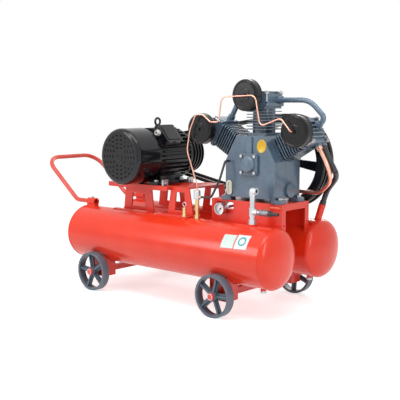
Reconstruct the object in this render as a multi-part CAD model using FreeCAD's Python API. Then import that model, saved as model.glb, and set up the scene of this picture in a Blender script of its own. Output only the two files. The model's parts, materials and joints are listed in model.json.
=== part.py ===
import FreeCAD, Part
import math
import os

# Wheeled workshop air compressor: a three-cylinder W pump and a foot-mounted motor on twin receivers.
# Millimetres. X runs along the receivers from the tow handle (-X) to the pump end (+X), -Y is the
# working side with gauge and outlet, +Y is the belt side, Z is up and z = 0 is the ground.

# ---- clearances ----
running_clearance = 0.08
seat_clearance = 0.3
thrust_clearance = 0.5

# ---- receivers ----
tank_length = 1500.0
tank_radius = 153.5
tank_spacing = 409.0
tank_axis_z = 308.0
tank_head_depth = 55.0
tank_wall = 5.0
tank_station = -470.0
tank_port_radius = 9.0
boss_root = 30.0
balance_pipe_radius = 16.0
balance_pipe_bore = 12.0
drain_station = 155.0

# ---- wheels and axles ----
wheel_radius = 110.0
wheel_width = 45.0
wheel_rim_depth = 13.0
wheel_hub_radius = 25.0
wheel_phases = (60.0, 20.0, 14.0, 40.0)
wheel_spokes = 5
wheel_base = 912.0
wheel_station = -497.0
wheel_track = 710.0
spindle_radius = 12.5
axle_bar = 32.0
bracket_length = 116.0
bracket_plate = 8.0
bracket_outer_y = 322.0
bracket_depth = 86.0
collar_radius = 17.0
collar_length = 11.0

# ---- tow handle ----
handle_tube_radius = 13.0
handle_bore_radius = 10.5
handle_arm_z = 487.0
handle_bend_station = -1263.0
handle_rise_angle = 39.2
handle_rise_length = 380.0
handle_grip_half = 105.0
handle_corner = 150.0
handle_elbow = 60.0
socket_radius = 22.0
socket_length = 66.0
socket_station = -1089.0

# ---- motor and its stand ----
motor_station = -769.0
motor_y = -47.0
pump_y = -15.0
motor_shaft_height = 160.0
motor_foot_span_x = 254.0
motor_foot_span_y = 210.0
motor_foot_length = 256.0
motor_foot_width = 66.0
motor_foot_thick = 18.0
motor_shoulder = 108.0
housing_length = 266.0
housing_spigot = 45.0
housing_radius = 141.0
housing_fin = 15.0
housing_fins = 36
housing_fin_root_angle = 3.2
housing_fin_tip_angle = 1.1
housing_fin_sink = 4.0
housing_bore = 130.0
eye_seat = 160.0
fan_cover_radius = 158.0
fan_cover_length = 170.0
fan_cover_wall = 2.5
fan_cover_corner = 24.0
end_shield_thick = 45.0
stator_bore = 63.0
stator_length = 160.0
air_gap = 0.6
shaft_radius = 21.0
shaft_stub = 110.0
bearing_radius = 45.0
bearing_length = 25.0
fan_radius = 128.0
terminal_box_size = 118.0
terminal_box_height = 40.0
terminal_seat = 146.0
terminal_tilt = 48.0
cable_entry_radius = 11.0
cable_bore_radius = 9.0
eye_ring_radius = 20.0
rail_height = 26.0
rail_width = 60.0
rail_wall = 6.0
rail_start = -1003.0
rail_end = -529.0
stand_top_z = 614.0
pedestal_half_depth = 150.0
pedestal_plate = 8.0
outer_pedestal_station = -786.0
outer_pedestal_top = 212.0
outer_pedestal_base = 262.0
inner_pedestal_station = -461.0
inner_pedestal_top = 136.0
inner_pedestal_base = 216.0
mount_bolt_radius = 7.0
saddle_thick = 6.0
pedestal_window = 0.22
pedestal_sill = 22.0
rail_slot = 70.0
tensioner_gap = 30.0

# ---- belt drive ----
drive_y = 172.0
drive_width = 98.0
motor_pulley_radius = 118.0
flywheel_radius = 250.0
flywheel_rim = 42.0
groove_count = 4
groove_pitch = 25.0
groove_top = 17.0
groove_bottom = 11.0
groove_depth = 12.5
belt_gap = 0.35
belt_back = 4.5
flywheel_spokes = 5

# ---- pump ----
crank_z = 761.0
crankcase_half_width = 158.0
crankcase_depth = 220.0
crankcase_wall = 10.0
crankcase_floor_z = 588.0
deck_distance = 145.0
deck_half_width = 66.0
cylinder_angle = 60.0
cylinder_bore = 50.0
cylinder_wall = 9.0
cylinder_length = 150.0
cylinder_half_x = 68.0
cylinder_half_y = 72.0
cylinder_fins = 7
cylinder_fin_thick = 5.0
head_height = 76.0
head_half_x = 70.0
pipe_boss_radius = 20.0
pipe_boss_height = 12.0
pipe_port_height = 32.0
outlet_port_height = 41.0
top_port_shift = 20.0
head_half_y = 72.0
stud_radius = 5.5
filter_radius = 80.0
filter_length = 54.0
filter_distance = 350.0
filter_neck_radius = 22.0
filter_neck = 46.0
crank_throw = 35.0
crank_pin_radius = 22.0
crank_journal_radius = 24.0
crank_web_radius = 66.0
crank_web_thick = 16.0
bearing_cap_size = 112.0
bearing_cap_thick = 14.0
rear_housing_radius = 68.0
rear_housing_length = 58.0
piston_height = 62.0
piston_wall = 7.0
pin_half_length = 43.0
foot_reach = 193.0
foot_length = 56.0
foot_thick = 20.0
side_cover_radius = 38.0
main_bearing_radius = 40.0
cylinder_shift = 10.0
piston_top_gap = 3.0
rod_drop = 90.0

# ---- pump platform ----
platform_length = 459.0
platform_station = -28.5
platform_half_width = 120.0
platform_top_z = 568.0
platform_plate = 8.0
platform_flange = 34.0

# ---- pipework ----
head_pipe_radius = 14.0
head_pipe_bore = 11.0
copper_radius = 10.0
hose_radius = 14.0
unloader_radius = 3.5
unloader_y = -196.0
pilot_hose_radius = 6.0
pipe_reach = 396.457
copper_port_y = 1.0
hose_port_y = 43.0
check_valve_station = -60.0
check_valve_y = 146.0
stub_station = 203.0
stub_lean = 18.6
stub_radius = 19.0
stub_height = 89.0

# ---- fittings on the front receiver ----
outlet_station = 81.0
outlet_pipe_radius = 13.5
outlet_branch_z = 531.0
outlet_elbow_z = 637.0
valve_bore = 7.0
regulator_station = -288.0
gauge_station = -169.0
gauge_z = 521.0
gauge_radius = 31.5
gauge_depth = 26.0
safety_valve_station = -345.0
safety_valve_offset = 38.0
safety_boss_height = 10.0
outlet_boss_height = 8.0
regulator_height = 152.0
valve_length = 52.0
valve_stem_height = 24.0
lever_length = 92.0
tail_radius = 9.5
check_valve_height = 84.0

# ---- places worked out from the sizes above ----
left_reach = handle_bend_station - handle_rise_length * math.cos(math.radians(handle_rise_angle))
crank_x = -(left_reach - handle_tube_radius + pipe_reach) / 2
tank_y = tank_spacing / 2
tank_top_z = tank_axis_z + tank_radius
machine_centre = crank_x + platform_station
motor_x = crank_x + motor_station
motor_z = stand_top_z + motor_shaft_height
shoulder_y = motor_y + motor_foot_span_y / 2 + motor_shoulder
housing_end_y = shoulder_y - end_shield_thick
housing_start_y = housing_end_y - housing_length
pump_front_y = pump_y - crankcase_depth / 2
pump_rear_y = pump_y + crankcase_depth / 2
head_base = deck_distance + cylinder_length
head_top = head_base + head_height
drive_mid_y = drive_y + drive_width / 2
cylinder_y = pump_y + cylinder_shift
bank_angles = {"left": -cylinder_angle, "middle": 0.0, "right": cylinder_angle}

X_AXIS = FreeCAD.Vector(1, 0, 0)
Y_AXIS = FreeCAD.Vector(0, 1, 0)
Z_AXIS = FreeCAD.Vector(0, 0, 1)


# ---- shape helpers ----
def vec(x, y, z):
    return FreeCAD.Vector(x, y, z)


def block(x0, x1, y0, y1, z0, z1):
    return Part.makeBox(x1 - x0, y1 - y0, z1 - z0, vec(x0, y0, z0))


def bar(start, direction, radius, length):
    return Part.makeCylinder(radius, length, start, direction)


def ring(start, direction, outer, inner, length):
    return bar(start, direction, outer, length).cut(bar(start, direction, inner, length))


def fuse(shapes):
    return shapes[0].multiFuse(shapes[1:]).removeSplitter()


def cut(shape, tools):
    return shape.cut(tools) if tools else shape


def largest(shape):
    return max(shape.Solids, key=lambda solid: solid.Volume)


def prism(points, direction):
    return Part.Face(Part.makePolygon(points + [points[0]])).extrude(direction)


def turned(profile, centre, axis):
    """Solid of revolution from (along, radius) points about an axis through centre."""
    side = Z_AXIS if abs(axis.z) < 0.5 else X_AXIS
    points = [centre + axis * along + side * radius for along, radius in profile]
    face = Part.Face(Part.makePolygon(points + [points[0]]))
    return face.revolve(centre, axis, 360)


def rounded_edges(shape, radius, pick):
    edges = [edge for edge in shape.Edges if pick(edge)]
    return shape.makeFillet(radius, edges) if edges else shape


def along(axis):
    def test(edge):
        if not isinstance(edge.Curve, Part.Line):
            return False
        return abs(edge.Curve.Direction.dot(axis)) > 0.999
    return test


def route(points, bends):
    """Wire of straight runs with a tangent arc at each inner point."""
    edges = []
    start = points[0]
    for before, corner, after, bend in zip(points, points[1:], points[2:], bends):
        inward = (corner - before).normalize()
        outward = (after - corner).normalize()
        half = inward.getAngle(outward) / 2
        reach = bend * math.tan(half)
        first = corner - inward * reach
        last = corner + outward * reach
        towards = (outward - inward).normalize()
        middle = corner + towards * (bend / math.cos(half) - bend)
        edges.append(Part.makeLine(start, first))
        edges.append(Part.Arc(first, middle, last).toShape())
        start = last
    edges.append(Part.makeLine(start, points[-1]))
    return Part.Wire(edges)


def tube(points, bend, radius, bore=0.0):
    """Round tube along a route, with one bend radius or a list of them."""
    bends = bend if isinstance(bend, list) else [bend] * (len(points) - 2)
    wire = route(points, bends)
    heading = points[1] - points[0]
    outer = Part.Wire(Part.makeCircle(radius, points[0], heading))
    solid = wire.makePipeShell([outer], True, False)
    if bore:
        inner = Part.Wire(Part.makeCircle(bore, points[0], heading))
        solid = solid.cut(wire.makePipeShell([inner], True, False))
    return solid


def hexagon(start, direction, across, length):
    """Hexagonal prism, given the distance across its flats."""
    side = direction.cross(X_AXIS if abs(direction.x) < 0.9 else Z_AXIS).normalize()
    corner = across / math.sqrt(3)
    spin = FreeCAD.Rotation(direction, 60)
    points = []
    spoke = side * corner
    for _ in range(6):
        points.append(start + spoke)
        spoke = spin.multVec(spoke)
    return prism(points, FreeCAD.Vector(direction).normalize() * length)


def hex_bolt(seat, direction, radius, shank, head=None):
    """Bolt seated at a face: hexagon head outside, shank going back through the face."""
    head = head or radius * 1.4
    return fuse([hexagon(seat, direction, radius * 3.2, head), bar(seat, direction * -1, radius, shank)])


def tank_cylinder(side, radius):
    centre = vec(crank_x + tank_station - tank_length, side * tank_y, tank_axis_z)
    return bar(centre, X_AXIS, radius, 2 * tank_length)


def clear_of_tanks(shape, gap=0.0):
    return cut(shape, [tank_cylinder(side, tank_radius + gap) for side in (-1, 1)])


# ---- receivers ----
def dished_body(shrink):
    """Cylinder with elliptical heads about the X axis."""
    half = tank_length / 2 - tank_head_depth
    radius = tank_radius - shrink
    depth = tank_head_depth - shrink
    crown = Part.Ellipse(vec(half, 0, radius), vec(half + depth, 0, 0), vec(half, 0, 0))
    edges = [Part.ArcOfEllipse(crown, 0, math.pi / 2).toShape(),
             Part.makeLine(vec(half + depth, 0, 0), vec(half, 0, 0)),
             Part.makeLine(vec(half, 0, 0), vec(half, 0, radius))]
    dome = Part.Face(Part.Wire(edges)).revolve(vec(0, 0, 0), X_AXIS, 360)
    shell = bar(vec(-half, 0, 0), X_AXIS, radius, 2 * half)
    return fuse([shell, dome, dome.mirror(vec(0, 0, 0), X_AXIS)])


def leaning(lean):
    """Upward direction that leans towards the pump end."""
    return vec(math.sin(math.radians(lean)), 0, math.cos(math.radians(lean)))


def tank(side, bosses):
    """Welded receiver with threaded bosses and a drain port under its pump end."""
    place = vec(crank_x + tank_station, side * tank_y, tank_axis_z)
    outer = dished_body(0.0)
    inner = dished_body(tank_wall)
    outer.translate(place)
    inner.translate(place)
    additions = []
    ports = []
    for station, offset, radius, height, lean in bosses:
        upward = leaning(lean)
        base = vec(crank_x + station, side * (tank_y + offset), tank_top_z) - upward * boss_root
        additions.append(bar(base, upward, radius, boss_root + height))
        ports.append(bar(base, upward, tank_port_radius, boss_root + height + 1))
    additions.append(handle_socket(side))
    drain = vec(crank_x + drain_station, side * tank_y, tank_axis_z - tank_radius - 14)
    additions.append(bar(drain, Z_AXIS, 15.0, 14 + tank_wall))
    ports.append(bar(drain - Z_AXIS, Z_AXIS, tank_port_radius, 15 + 2 * tank_wall))
    inlet = vec(crank_x + tank_station, side * (tank_y - tank_radius - tank_wall), tank_axis_z)
    ports.append(bar(inlet, Y_AXIS * side, balance_pipe_bore, 4 * tank_wall))
    body = fuse([outer] + additions).cut(inner)
    return cut(body, ports)


def balance_pipe():
    reach = tank_y - tank_radius + tank_wall
    start = vec(crank_x + tank_station, -reach, tank_axis_z)
    return clear_of_tanks(ring(start, Y_AXIS, balance_pipe_radius, balance_pipe_bore, 2 * reach))


def drain_plugs():
    plugs = []
    for side in (-1, 1):
        seat = vec(crank_x + drain_station, side * tank_y, tank_axis_z - tank_radius - 14)
        plugs.append(hex_bolt(seat, Z_AXIS * -1, tank_port_radius - 1, 12, 12))
    return plugs


# ---- wheels ----
def wheel_places():
    for end, sign in (("motor_end", -1), ("pump_end", 1)):
        for name, side in (("front", -1), ("rear", 1)):
            yield f"{name}_wheel_{end}", crank_x + wheel_station + sign * wheel_base / 2, side


def cast_wheel(x, side, phase):
    """Iron wheel: plain tread, five T-section spokes and a bored hub."""
    middle = vec(x, side * wheel_track / 2, wheel_radius)
    start = middle - Y_AXIS * (wheel_width / 2)
    rim = ring(start, Y_AXIS, wheel_radius, wheel_radius - wheel_rim_depth, wheel_width)
    hub = bar(middle - Y_AXIS * (wheel_width / 2 + 2), Y_AXIS, wheel_hub_radius, wheel_width + 4)
    spokes = []
    reach = wheel_radius - wheel_rim_depth + 3
    for index in range(wheel_spokes):
        web = block(-15, 15, -4, 4, 8, reach)
        rib = block(-4, 4, -16, 16, 8, reach)
        for piece in (web, rib):
            piece.rotate(vec(0, 0, 0), Y_AXIS, phase + index * 360 / wheel_spokes)
            piece.translate(middle)
            spokes.append(piece)
    bore = bar(middle - Y_AXIS * wheel_width, Y_AXIS, spindle_radius + running_clearance, 2 * wheel_width)
    return fuse([rim, hub] + spokes).cut(bore)


def wheel_axle(x):
    """Square cross bar turned down to a spindle at each end."""
    half = axle_bar / 2
    shoulder = wheel_track / 2 - wheel_width / 2 - 2 - thrust_clearance
    end = wheel_track / 2 + wheel_width / 2 + 2 + thrust_clearance + collar_length
    beam = block(x - half, x + half, -shoulder, shoulder, wheel_radius - half, wheel_radius + half)
    spindle = bar(vec(x, -end, wheel_radius), Y_AXIS, spindle_radius, 2 * end)
    return fuse([beam, spindle])


def axle_collars():
    collars = []
    for _, x, side in wheel_places():
        start = side * (wheel_track / 2 + wheel_width / 2 + 2 + thrust_clearance)
        collars.append(ring(vec(x, start, wheel_radius), Y_AXIS * side, collar_radius, spindle_radius,
                            collar_length))
    return collars


def wheel_brackets():
    """Four welded boxes that hang the axle bars under the receivers."""
    brackets = []
    half = bracket_length / 2
    opening = axle_bar / 2 + seat_clearance
    for _, x, side in wheel_places():
        outer = side * bracket_outer_y
        inner = side * (bracket_outer_y - bracket_depth)
        low = wheel_radius - axle_bar / 2 - 14
        plates = []
        for y in (outer, inner + side * bracket_plate):
            y0, y1 = sorted((y, y - side * bracket_plate))
            plates.append(block(x - half, x + half, y0, y1, low, tank_axis_z))
        y0, y1 = sorted((outer, inner))
        plates.append(block(x - half, x + half, y0, y1, low, low + bracket_plate))
        for end in (-1, 1):
            x0, x1 = sorted((x + end * half, x + end * (half - bracket_plate)))
            plates.append(block(x0, x1, y0, y1, low, tank_axis_z))
        box = clear_of_tanks(fuse(plates))
        hole = block(x - opening, x + opening, y0 - 1, y1 + 1, wheel_radius - opening, wheel_radius + opening)
        box = box.cut(hole)
        brackets.append(largest(box))
    return brackets


# ---- tow handle ----
def tow_handle():
    """One bent tube: two level arms on the receivers rising to a rounded grip loop."""
    angle = math.radians(handle_rise_angle)
    bend_x = crank_x + handle_bend_station
    top_x = bend_x - handle_rise_length * math.cos(angle)
    top_z = handle_arm_z + handle_rise_length * math.sin(angle)
    start_x = crank_x + socket_station - 8
    corner = tank_y - handle_grip_half
    points = [vec(start_x, -tank_y, handle_arm_z), vec(bend_x, -tank_y, handle_arm_z),
              vec(top_x, -tank_y, top_z), vec(top_x, tank_y, top_z),
              vec(bend_x, tank_y, handle_arm_z), vec(start_x, tank_y, handle_arm_z)]
    return tube(points, [handle_elbow, corner, corner, handle_elbow], handle_tube_radius, handle_bore_radius)


def handle_socket(side):
    """Short sleeve on a saddle foot that holds one handle arm."""
    end = vec(crank_x + socket_station, side * tank_y, handle_arm_z)
    sleeve = bar(end, X_AXIS * -1, socket_radius, socket_length)
    foot = block(end.x - socket_length, end.x, end.y - 17, end.y + 17, tank_top_z - 8, handle_arm_z)
    bore = bar(end + X_AXIS, X_AXIS * -1, handle_tube_radius + seat_clearance, socket_length + 2)
    bolt_hole = bar(end - X_AXIS * (socket_length / 2), Z_AXIS, 5.0, 2 * socket_radius)
    return fuse([sleeve, foot]).cut([bore, bolt_hole])


def handle_bolts():
    bolts = []
    for side in (-1, 1):
        seat = vec(crank_x + socket_station - socket_length / 2, side * tank_y, handle_arm_z + socket_radius)
        bolts.append(hex_bolt(seat, Z_AXIS, 5.0, socket_radius - handle_tube_radius - 1.0, 7))
    return bolts


# ---- motor stand ----
def saddle(x, half_length, y_from, y_to):
    """Curved pad that lies on a receiver between two Y places."""
    side = 1 if y_from + y_to > 0 else -1
    shell = tank_cylinder(side, tank_radius + saddle_thick).cut(tank_cylinder(side, tank_radius))
    return shell.common(block(x - half_length, x + half_length, y_from, y_to, tank_axis_z, 2 * tank_top_z))


def pedestal(station, top_width, base_width, top_z):
    """Folded plate bridge: level top and a tapered, windowed web standing on each receiver."""
    x = crank_x + station
    under = top_z - pedestal_plate
    low = tank_axis_z + tank_radius / 2
    parts = [block(x - top_width / 2, x + top_width / 2, -pedestal_half_depth, pedestal_half_depth,
                   under, top_z)]
    inset = top_width * pedestal_window
    window_low = tank_top_z + pedestal_sill
    window_high = under - pedestal_sill
    for side in (-1, 1):
        y = side * (pedestal_half_depth - pedestal_plate / 2) - pedestal_plate / 2
        web = prism([vec(x - base_width / 2, y, low), vec(x + base_width / 2, y, low),
                     vec(x + top_width / 2, y, under), vec(x - top_width / 2, y, under)],
                    Y_AXIS * pedestal_plate)
        window = prism([vec(x - inset - 10, y - 1, window_low), vec(x + inset + 10, y - 1, window_low),
                        vec(x + inset, y - 1, window_high), vec(x - inset, y - 1, window_high)],
                       Y_AXIS * (pedestal_plate + 2))
        parts.append(web.cut(window))
        y_from, y_to = sorted((side * (pedestal_half_depth - 28), side * (pedestal_half_depth + 70)))
        parts.append(saddle(x, base_width / 2 + 10, y_from, y_to))
    return clear_of_tanks(fuse(parts))


def rail_centres():
    return [motor_y + side * motor_foot_span_y / 2 for side in (-1, 1)]


def foot_bolt_places():
    for x in (motor_x - motor_foot_span_x / 2, motor_x + motor_foot_span_x / 2):
        for y in rail_centres():
            yield x, y


def motor_rails():
    """Two channel rails, webs up, with slots that let the motor slide to tension the belts."""
    rails = []
    low = stand_top_z - rail_height
    for y in rail_centres():
        y0, y1 = y - rail_width / 2, y + rail_width / 2
        rail = block(crank_x + rail_start, crank_x + rail_end, y0, y1, low, stand_top_z)
        hollow = block(crank_x + rail_start - 1, crank_x + rail_end + 1, y0 + rail_wall, y1 - rail_wall,
                       low - 1, stand_top_z - rail_wall)
        slots = []
        for x, bolt_y in foot_bolt_places():
            if bolt_y == y:
                half = mount_bolt_radius + 1
                slots.append(block(x - rail_slot / 2, x + rail_slot / 2, y - half, y + half, low, stand_top_z + 1))
        rails.append(cut(rail, [hollow] + slots))
    return rails


def motor_bolts():
    bolts = []
    for x, y in foot_bolt_places():
        seat = vec(x, y, stand_top_z + motor_foot_thick)
        bolts.append(hex_bolt(seat, Z_AXIS, mount_bolt_radius, motor_foot_thick + rail_wall + 16))
        nut = hexagon(vec(x, y, stand_top_z - rail_wall - 12), Z_AXIS, 3.2 * mount_bolt_radius, 12)
        bolts.append(nut.cut(bar(vec(x, y, stand_top_z - 60), Z_AXIS, mount_bolt_radius, 60)))
    return bolts


def belt_tensioners():
    """A lug on each rail with a screw that pushes the motor foot away from the pump."""
    tensioners = []
    foot_edge = motor_x + motor_foot_span_x / 2 + motor_foot_width / 2
    for y in rail_centres():
        lug_x = foot_edge + tensioner_gap
        lug = block(lug_x, lug_x + 12, y - 20, y + 20, stand_top_z, stand_top_z + 34)
        screw_start = vec(foot_edge, y, stand_top_z + 10)
        hole = bar(screw_start, X_AXIS, 5.0, tensioner_gap + 20)
        tensioners.append(lug.cut(hole))
        screw = bar(screw_start, X_AXIS, 5.0, tensioner_gap + 12)
        tensioners.append(fuse([screw, hexagon(vec(lug_x + 12, y, stand_top_z + 10), X_AXIS, 16, 8)]))
    return tensioners


# ---- motor ----
def axis_y(start_y, x=None, z=None):
    return vec(motor_x if x is None else x, start_y, motor_z if z is None else z)


def on_terminal_side(shape):
    """Turn a shape built upright over the motor axis round to the terminal box seat."""
    placed = shape.copy()
    placed.rotate(vec(motor_x, 0, motor_z), Y_AXIS, terminal_tilt)
    return placed


def upright_on_motor(half, low, high):
    return block(motor_x - half, motor_x + half, motor_y - half, motor_y + half, motor_z + low, motor_z + high)


def finned_barrel():
    """Barrel with a plain spigot for the fan cover and straight fins along the rest."""
    points = []
    root = math.radians(housing_fin_root_angle)
    tip = math.radians(housing_fin_tip_angle)
    buried = housing_radius - housing_fin_sink
    for index in range(housing_fins):
        centre = 2 * math.pi * index / housing_fins
        for radius, angle in ((buried, centre - root), (housing_radius + housing_fin, centre - tip),
                              (housing_radius + housing_fin, centre + tip), (buried, centre + root)):
            points.append(vec(motor_x + radius * math.cos(angle), housing_start_y + housing_spigot,
                              motor_z + radius * math.sin(angle)))
    fins = prism(points, Y_AXIS * (housing_length - housing_spigot))
    return fuse([fins, bar(axis_y(housing_start_y), Y_AXIS, housing_radius, housing_length)])


def motor_foot(side):
    """Long foot with a web up to the barrel, clear of the fixing bolts."""
    x = motor_x + side * motor_foot_span_x / 2
    half = motor_foot_width / 2
    y0 = motor_y - motor_foot_length / 2
    y1 = motor_y + motor_foot_length / 2
    plate = block(x - half, x + half, y0, y1, stand_top_z, stand_top_z + motor_foot_thick)
    web_y = housing_start_y + housing_spigot + 2
    inner = motor_x + side * housing_bore / 2
    outer = x - side * 18
    web = prism([vec(inner, web_y, stand_top_z + 4), vec(outer, web_y, stand_top_z + 4),
                 vec(outer, web_y, stand_top_z + 44), vec(motor_x + side * housing_bore, web_y, motor_z - 46),
                 vec(inner, web_y, motor_z - 70)], Y_AXIS * (y1 - 10 - web_y))
    return fuse([plate, web])


def motor_housing():
    """Finned cast body, bored through, on two long feet."""
    seat_half = terminal_box_size / 2
    space = block(motor_x - seat_half - 2, motor_x + seat_half + 2, motor_y - seat_half - 34,
                  motor_y + seat_half + 2, motor_z + terminal_seat, motor_z + terminal_seat + 40)
    seat = on_terminal_side(upright_on_motor(terminal_box_size / 2, housing_bore - 12, terminal_seat))
    body = finned_barrel().cut(on_terminal_side(space))
    eye_pad = bar(vec(motor_x, eye_y(), motor_z + housing_bore), Z_AXIS, 20.0, eye_seat - housing_bore)
    solid = fuse([body, seat, eye_pad, motor_foot(-1), motor_foot(1)])
    holes = [bar(axis_y(housing_start_y - 60), Y_AXIS, housing_bore, housing_length + 120),
             bar(vec(motor_x, eye_y(), motor_z + housing_bore - housing_fin), Z_AXIS, 8.0, 60)]
    for x, y in foot_bolt_places():
        holes.append(bar(vec(x, y, stand_top_z - 1), Z_AXIS, mount_bolt_radius + seat_clearance, 40))
    return solid.cut(holes)


def eye_y():
    return motor_y + 40


def end_shield(start, heading):
    """Bearing end plate: spigot in the housing bore, dished web and a bearing bore."""
    profile = [(-6, housing_bore - seat_clearance), (0, housing_bore - seat_clearance), (0, housing_radius + 8),
               (14, housing_radius + 8), (end_shield_thick - 8, bearing_radius + 26),
               (end_shield_thick, bearing_radius + 26), (end_shield_thick, shaft_radius + 2),
               (end_shield_thick - 8, shaft_radius + 2), (end_shield_thick - 8, bearing_radius),
               (end_shield_thick - 8 - bearing_length, bearing_radius),
               (end_shield_thick - 8 - bearing_length, bearing_radius + 8), (-6, housing_bore - 12)]
    return turned(profile, start, heading)


def motor_bearings():
    """Two ball bearings shown as closed rings between shield and shaft."""
    rings = []
    for start, heading in ((axis_y(housing_end_y), Y_AXIS), (axis_y(housing_start_y), Y_AXIS * -1)):
        seat = start + heading * (end_shield_thick - 8 - bearing_length)
        rings.append(ring(seat, heading, bearing_radius - 0.05, shaft_radius + running_clearance, bearing_length))
    return rings


def corner_arc(start, radius, corner, steps=6):
    """Quarter round from a flat end to a barrel, as (along, radius) points."""
    points = []
    for index in range(steps + 1):
        angle = math.pi / 2 * index / steps
        points.append((start + corner * (1 - math.cos(angle)), radius - corner * (1 - math.sin(angle))))
    return points


def fan_cover():
    """Pressed cowl with a raised centre ring and a ring of inlet slots."""
    start = housing_start_y - fan_cover_length
    outer = fan_cover_radius
    wall = fan_cover_wall
    profile = [(0, 0)] + corner_arc(0.0, outer, fan_cover_corner) + [(fan_cover_length, outer),
                                                                      (fan_cover_length, outer - wall)]
    profile += corner_arc(wall, outer - wall, fan_cover_corner - wall)[::-1] + [(wall, 0)]
    cowl = turned(profile, axis_y(start), Y_AXIS)
    boss = ring(axis_y(start - 2), Y_AXIS, 24.0, 19.0, 3)
    slots = []
    for ring_radius, count in ((52.0, 10), (74.0, 14), (96.0, 18), (118.0, 22)):
        for index in range(count):
            slot = block(ring_radius - 3.5, ring_radius + 3.5, -4, 8, -7.5, 7.5)
            slot.rotate(vec(0, 0, 0), Y_AXIS, index * 360 / count)
            slot.translate(axis_y(start))
            slots.append(slot)
    return fuse([cowl, boss]).cut(slots)


def stator_core():
    middle = (housing_start_y + housing_end_y) / 2
    core = ring(axis_y(middle - stator_length / 2), Y_AXIS, housing_bore - seat_clearance, stator_bore,
                stator_length)
    ends = [ring(axis_y(middle - stator_length / 2 - 34), Y_AXIS, housing_bore - 18, stator_bore + 16, 34),
            ring(axis_y(middle + stator_length / 2), Y_AXIS, housing_bore - 18, stator_bore + 16, 34)]
    return fuse([core] + ends)


def motor_rotor():
    """Shaft with its pressed rotor pack, as two solids."""
    fan_end = housing_start_y - end_shield_thick - 62
    end = shoulder_y + shaft_stub
    middle = (housing_start_y + housing_end_y) / 2
    shaft = bar(axis_y(fan_end), Y_AXIS, shaft_radius, end - fan_end)
    pack = ring(axis_y(middle - stator_length / 2), Y_AXIS, stator_bore - air_gap, shaft_radius, stator_length)
    return [shaft, pack]


def cooling_fan():
    start = housing_start_y - end_shield_thick - 52
    hub = bar(axis_y(start), Y_AXIS, 36.0, 42)
    disc = bar(axis_y(start + 38), Y_AXIS, fan_radius, 4)
    blades = []
    for index in range(7):
        blade = block(30, fan_radius - 2, 0, 39, -2, 2)
        blade.rotate(vec(0, 0, 0), Y_AXIS, index * 360 / 7)
        blade.translate(axis_y(start))
        blades.append(blade)
    return fuse([hub, disc] + blades).cut(bar(axis_y(start - 1), Y_AXIS, shaft_radius, 60))


def terminal_box():
    """Cast box on the housing seat with a side entry for the supply cable."""
    half = terminal_box_size / 2
    top = terminal_seat + terminal_box_height
    outer = rounded_edges(upright_on_motor(half, terminal_seat, top), 10.0, along(Z_AXIS))
    inner = upright_on_motor(half - 6, terminal_seat + 6, top + 1)
    entry = bar(gland_face() - Y_AXIS, Y_AXIS, cable_entry_radius, 12)
    return on_terminal_side(outer.cut([inner, entry]))


def gland_face():
    return vec(motor_x - 26, motor_y - terminal_box_size / 2, motor_z + terminal_seat + terminal_box_height / 2)


def terminal_box_lid():
    half = terminal_box_size / 2
    top = terminal_seat + terminal_box_height
    lid = rounded_edges(upright_on_motor(half + 3, top, top + 7), 10.0, along(Z_AXIS))
    return on_terminal_side(fuse([lid, upright_on_motor(half - 12, top + 6, top + 11)]))


def cable_gland():
    """Threaded gland with a through bore at the cable entry."""
    face = gland_face()
    body = fuse([hexagon(face, Y_AXIS * -1, 32, 10), bar(face, Y_AXIS * -1, 13.0, 24),
                 bar(face, Y_AXIS, cable_entry_radius - seat_clearance, 6)])
    return on_terminal_side(body.cut(bar(face + Y_AXIS * 10, Y_AXIS * -1, cable_bore_radius, 40)))


def lifting_eye():
    """Forged eye bolt in the top of the motor body."""
    base = vec(motor_x, eye_y(), motor_z + eye_seat)
    collar = bar(base, Z_AXIS, 17.0, 7)
    stem = bar(base - Z_AXIS * 22, Z_AXIS, 7.7, 34)
    eye = Part.makeTorus(eye_ring_radius, 6.5, base + Z_AXIS * (eye_ring_radius + 10), X_AXIS)
    return fuse([collar, stem, eye])


# ---- belt drive ----
def groove_places():
    middle = (groove_count - 1) / 2
    return [drive_mid_y + (index - middle) * groove_pitch for index in range(groove_count)]


def grooved_rim(x, z, radius):
    """Solid disc with V grooves turned in its rim."""
    outline = [(0, 0), (0, radius)]
    for y in groove_places():
        mid = y - drive_y
        outline += [(mid - groove_top / 2, radius), (mid - groove_bottom / 2, radius - groove_depth),
                    (mid + groove_bottom / 2, radius - groove_depth), (mid + groove_top / 2, radius)]
    outline += [(drive_width, radius), (drive_width, 0)]
    return turned(outline, vec(x, drive_y, z), Y_AXIS)


def motor_pulley():
    disc = grooved_rim(motor_x, motor_z, motor_pulley_radius)
    recess = ring(axis_y(drive_y - 1), Y_AXIS, motor_pulley_radius - 24, 44.0, 27)
    back = ring(axis_y(drive_y + drive_width - 26), Y_AXIS, motor_pulley_radius - 24, 44.0, 27)
    bore = bar(axis_y(drive_y - 1), Y_AXIS, shaft_radius, drive_width + 2)
    return disc.cut([recess, back, bore])


def flywheel():
    """Spoked cast wheel, its grooved rim the pump end of the belt drive."""
    disc = grooved_rim(crank_x, crank_z, flywheel_radius)
    centre = vec(crank_x, drive_y - 1, crank_z)
    inside = bar(centre, Y_AXIS, flywheel_radius - flywheel_rim, drive_width + 2)
    pieces = [disc.cut(inside), bar(centre + Y_AXIS, Y_AXIS, 48.0, drive_width)]
    y = drive_mid_y - 14
    reach = flywheel_radius - flywheel_rim + 4
    for index in range(flywheel_spokes):
        spoke = prism([vec(-17, y, 30), vec(17, y, 30), vec(28, y, reach), vec(-28, y, reach)], Y_AXIS * 28)
        spoke.rotate(vec(0, 0, 0), Y_AXIS, 97 + index * 360 / flywheel_spokes)
        spoke.translate(vec(crank_x, 0, crank_z))
        pieces.append(spoke)
    return fuse(pieces).cut(bar(centre, Y_AXIS, crank_journal_radius, drive_width + 2))


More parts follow.
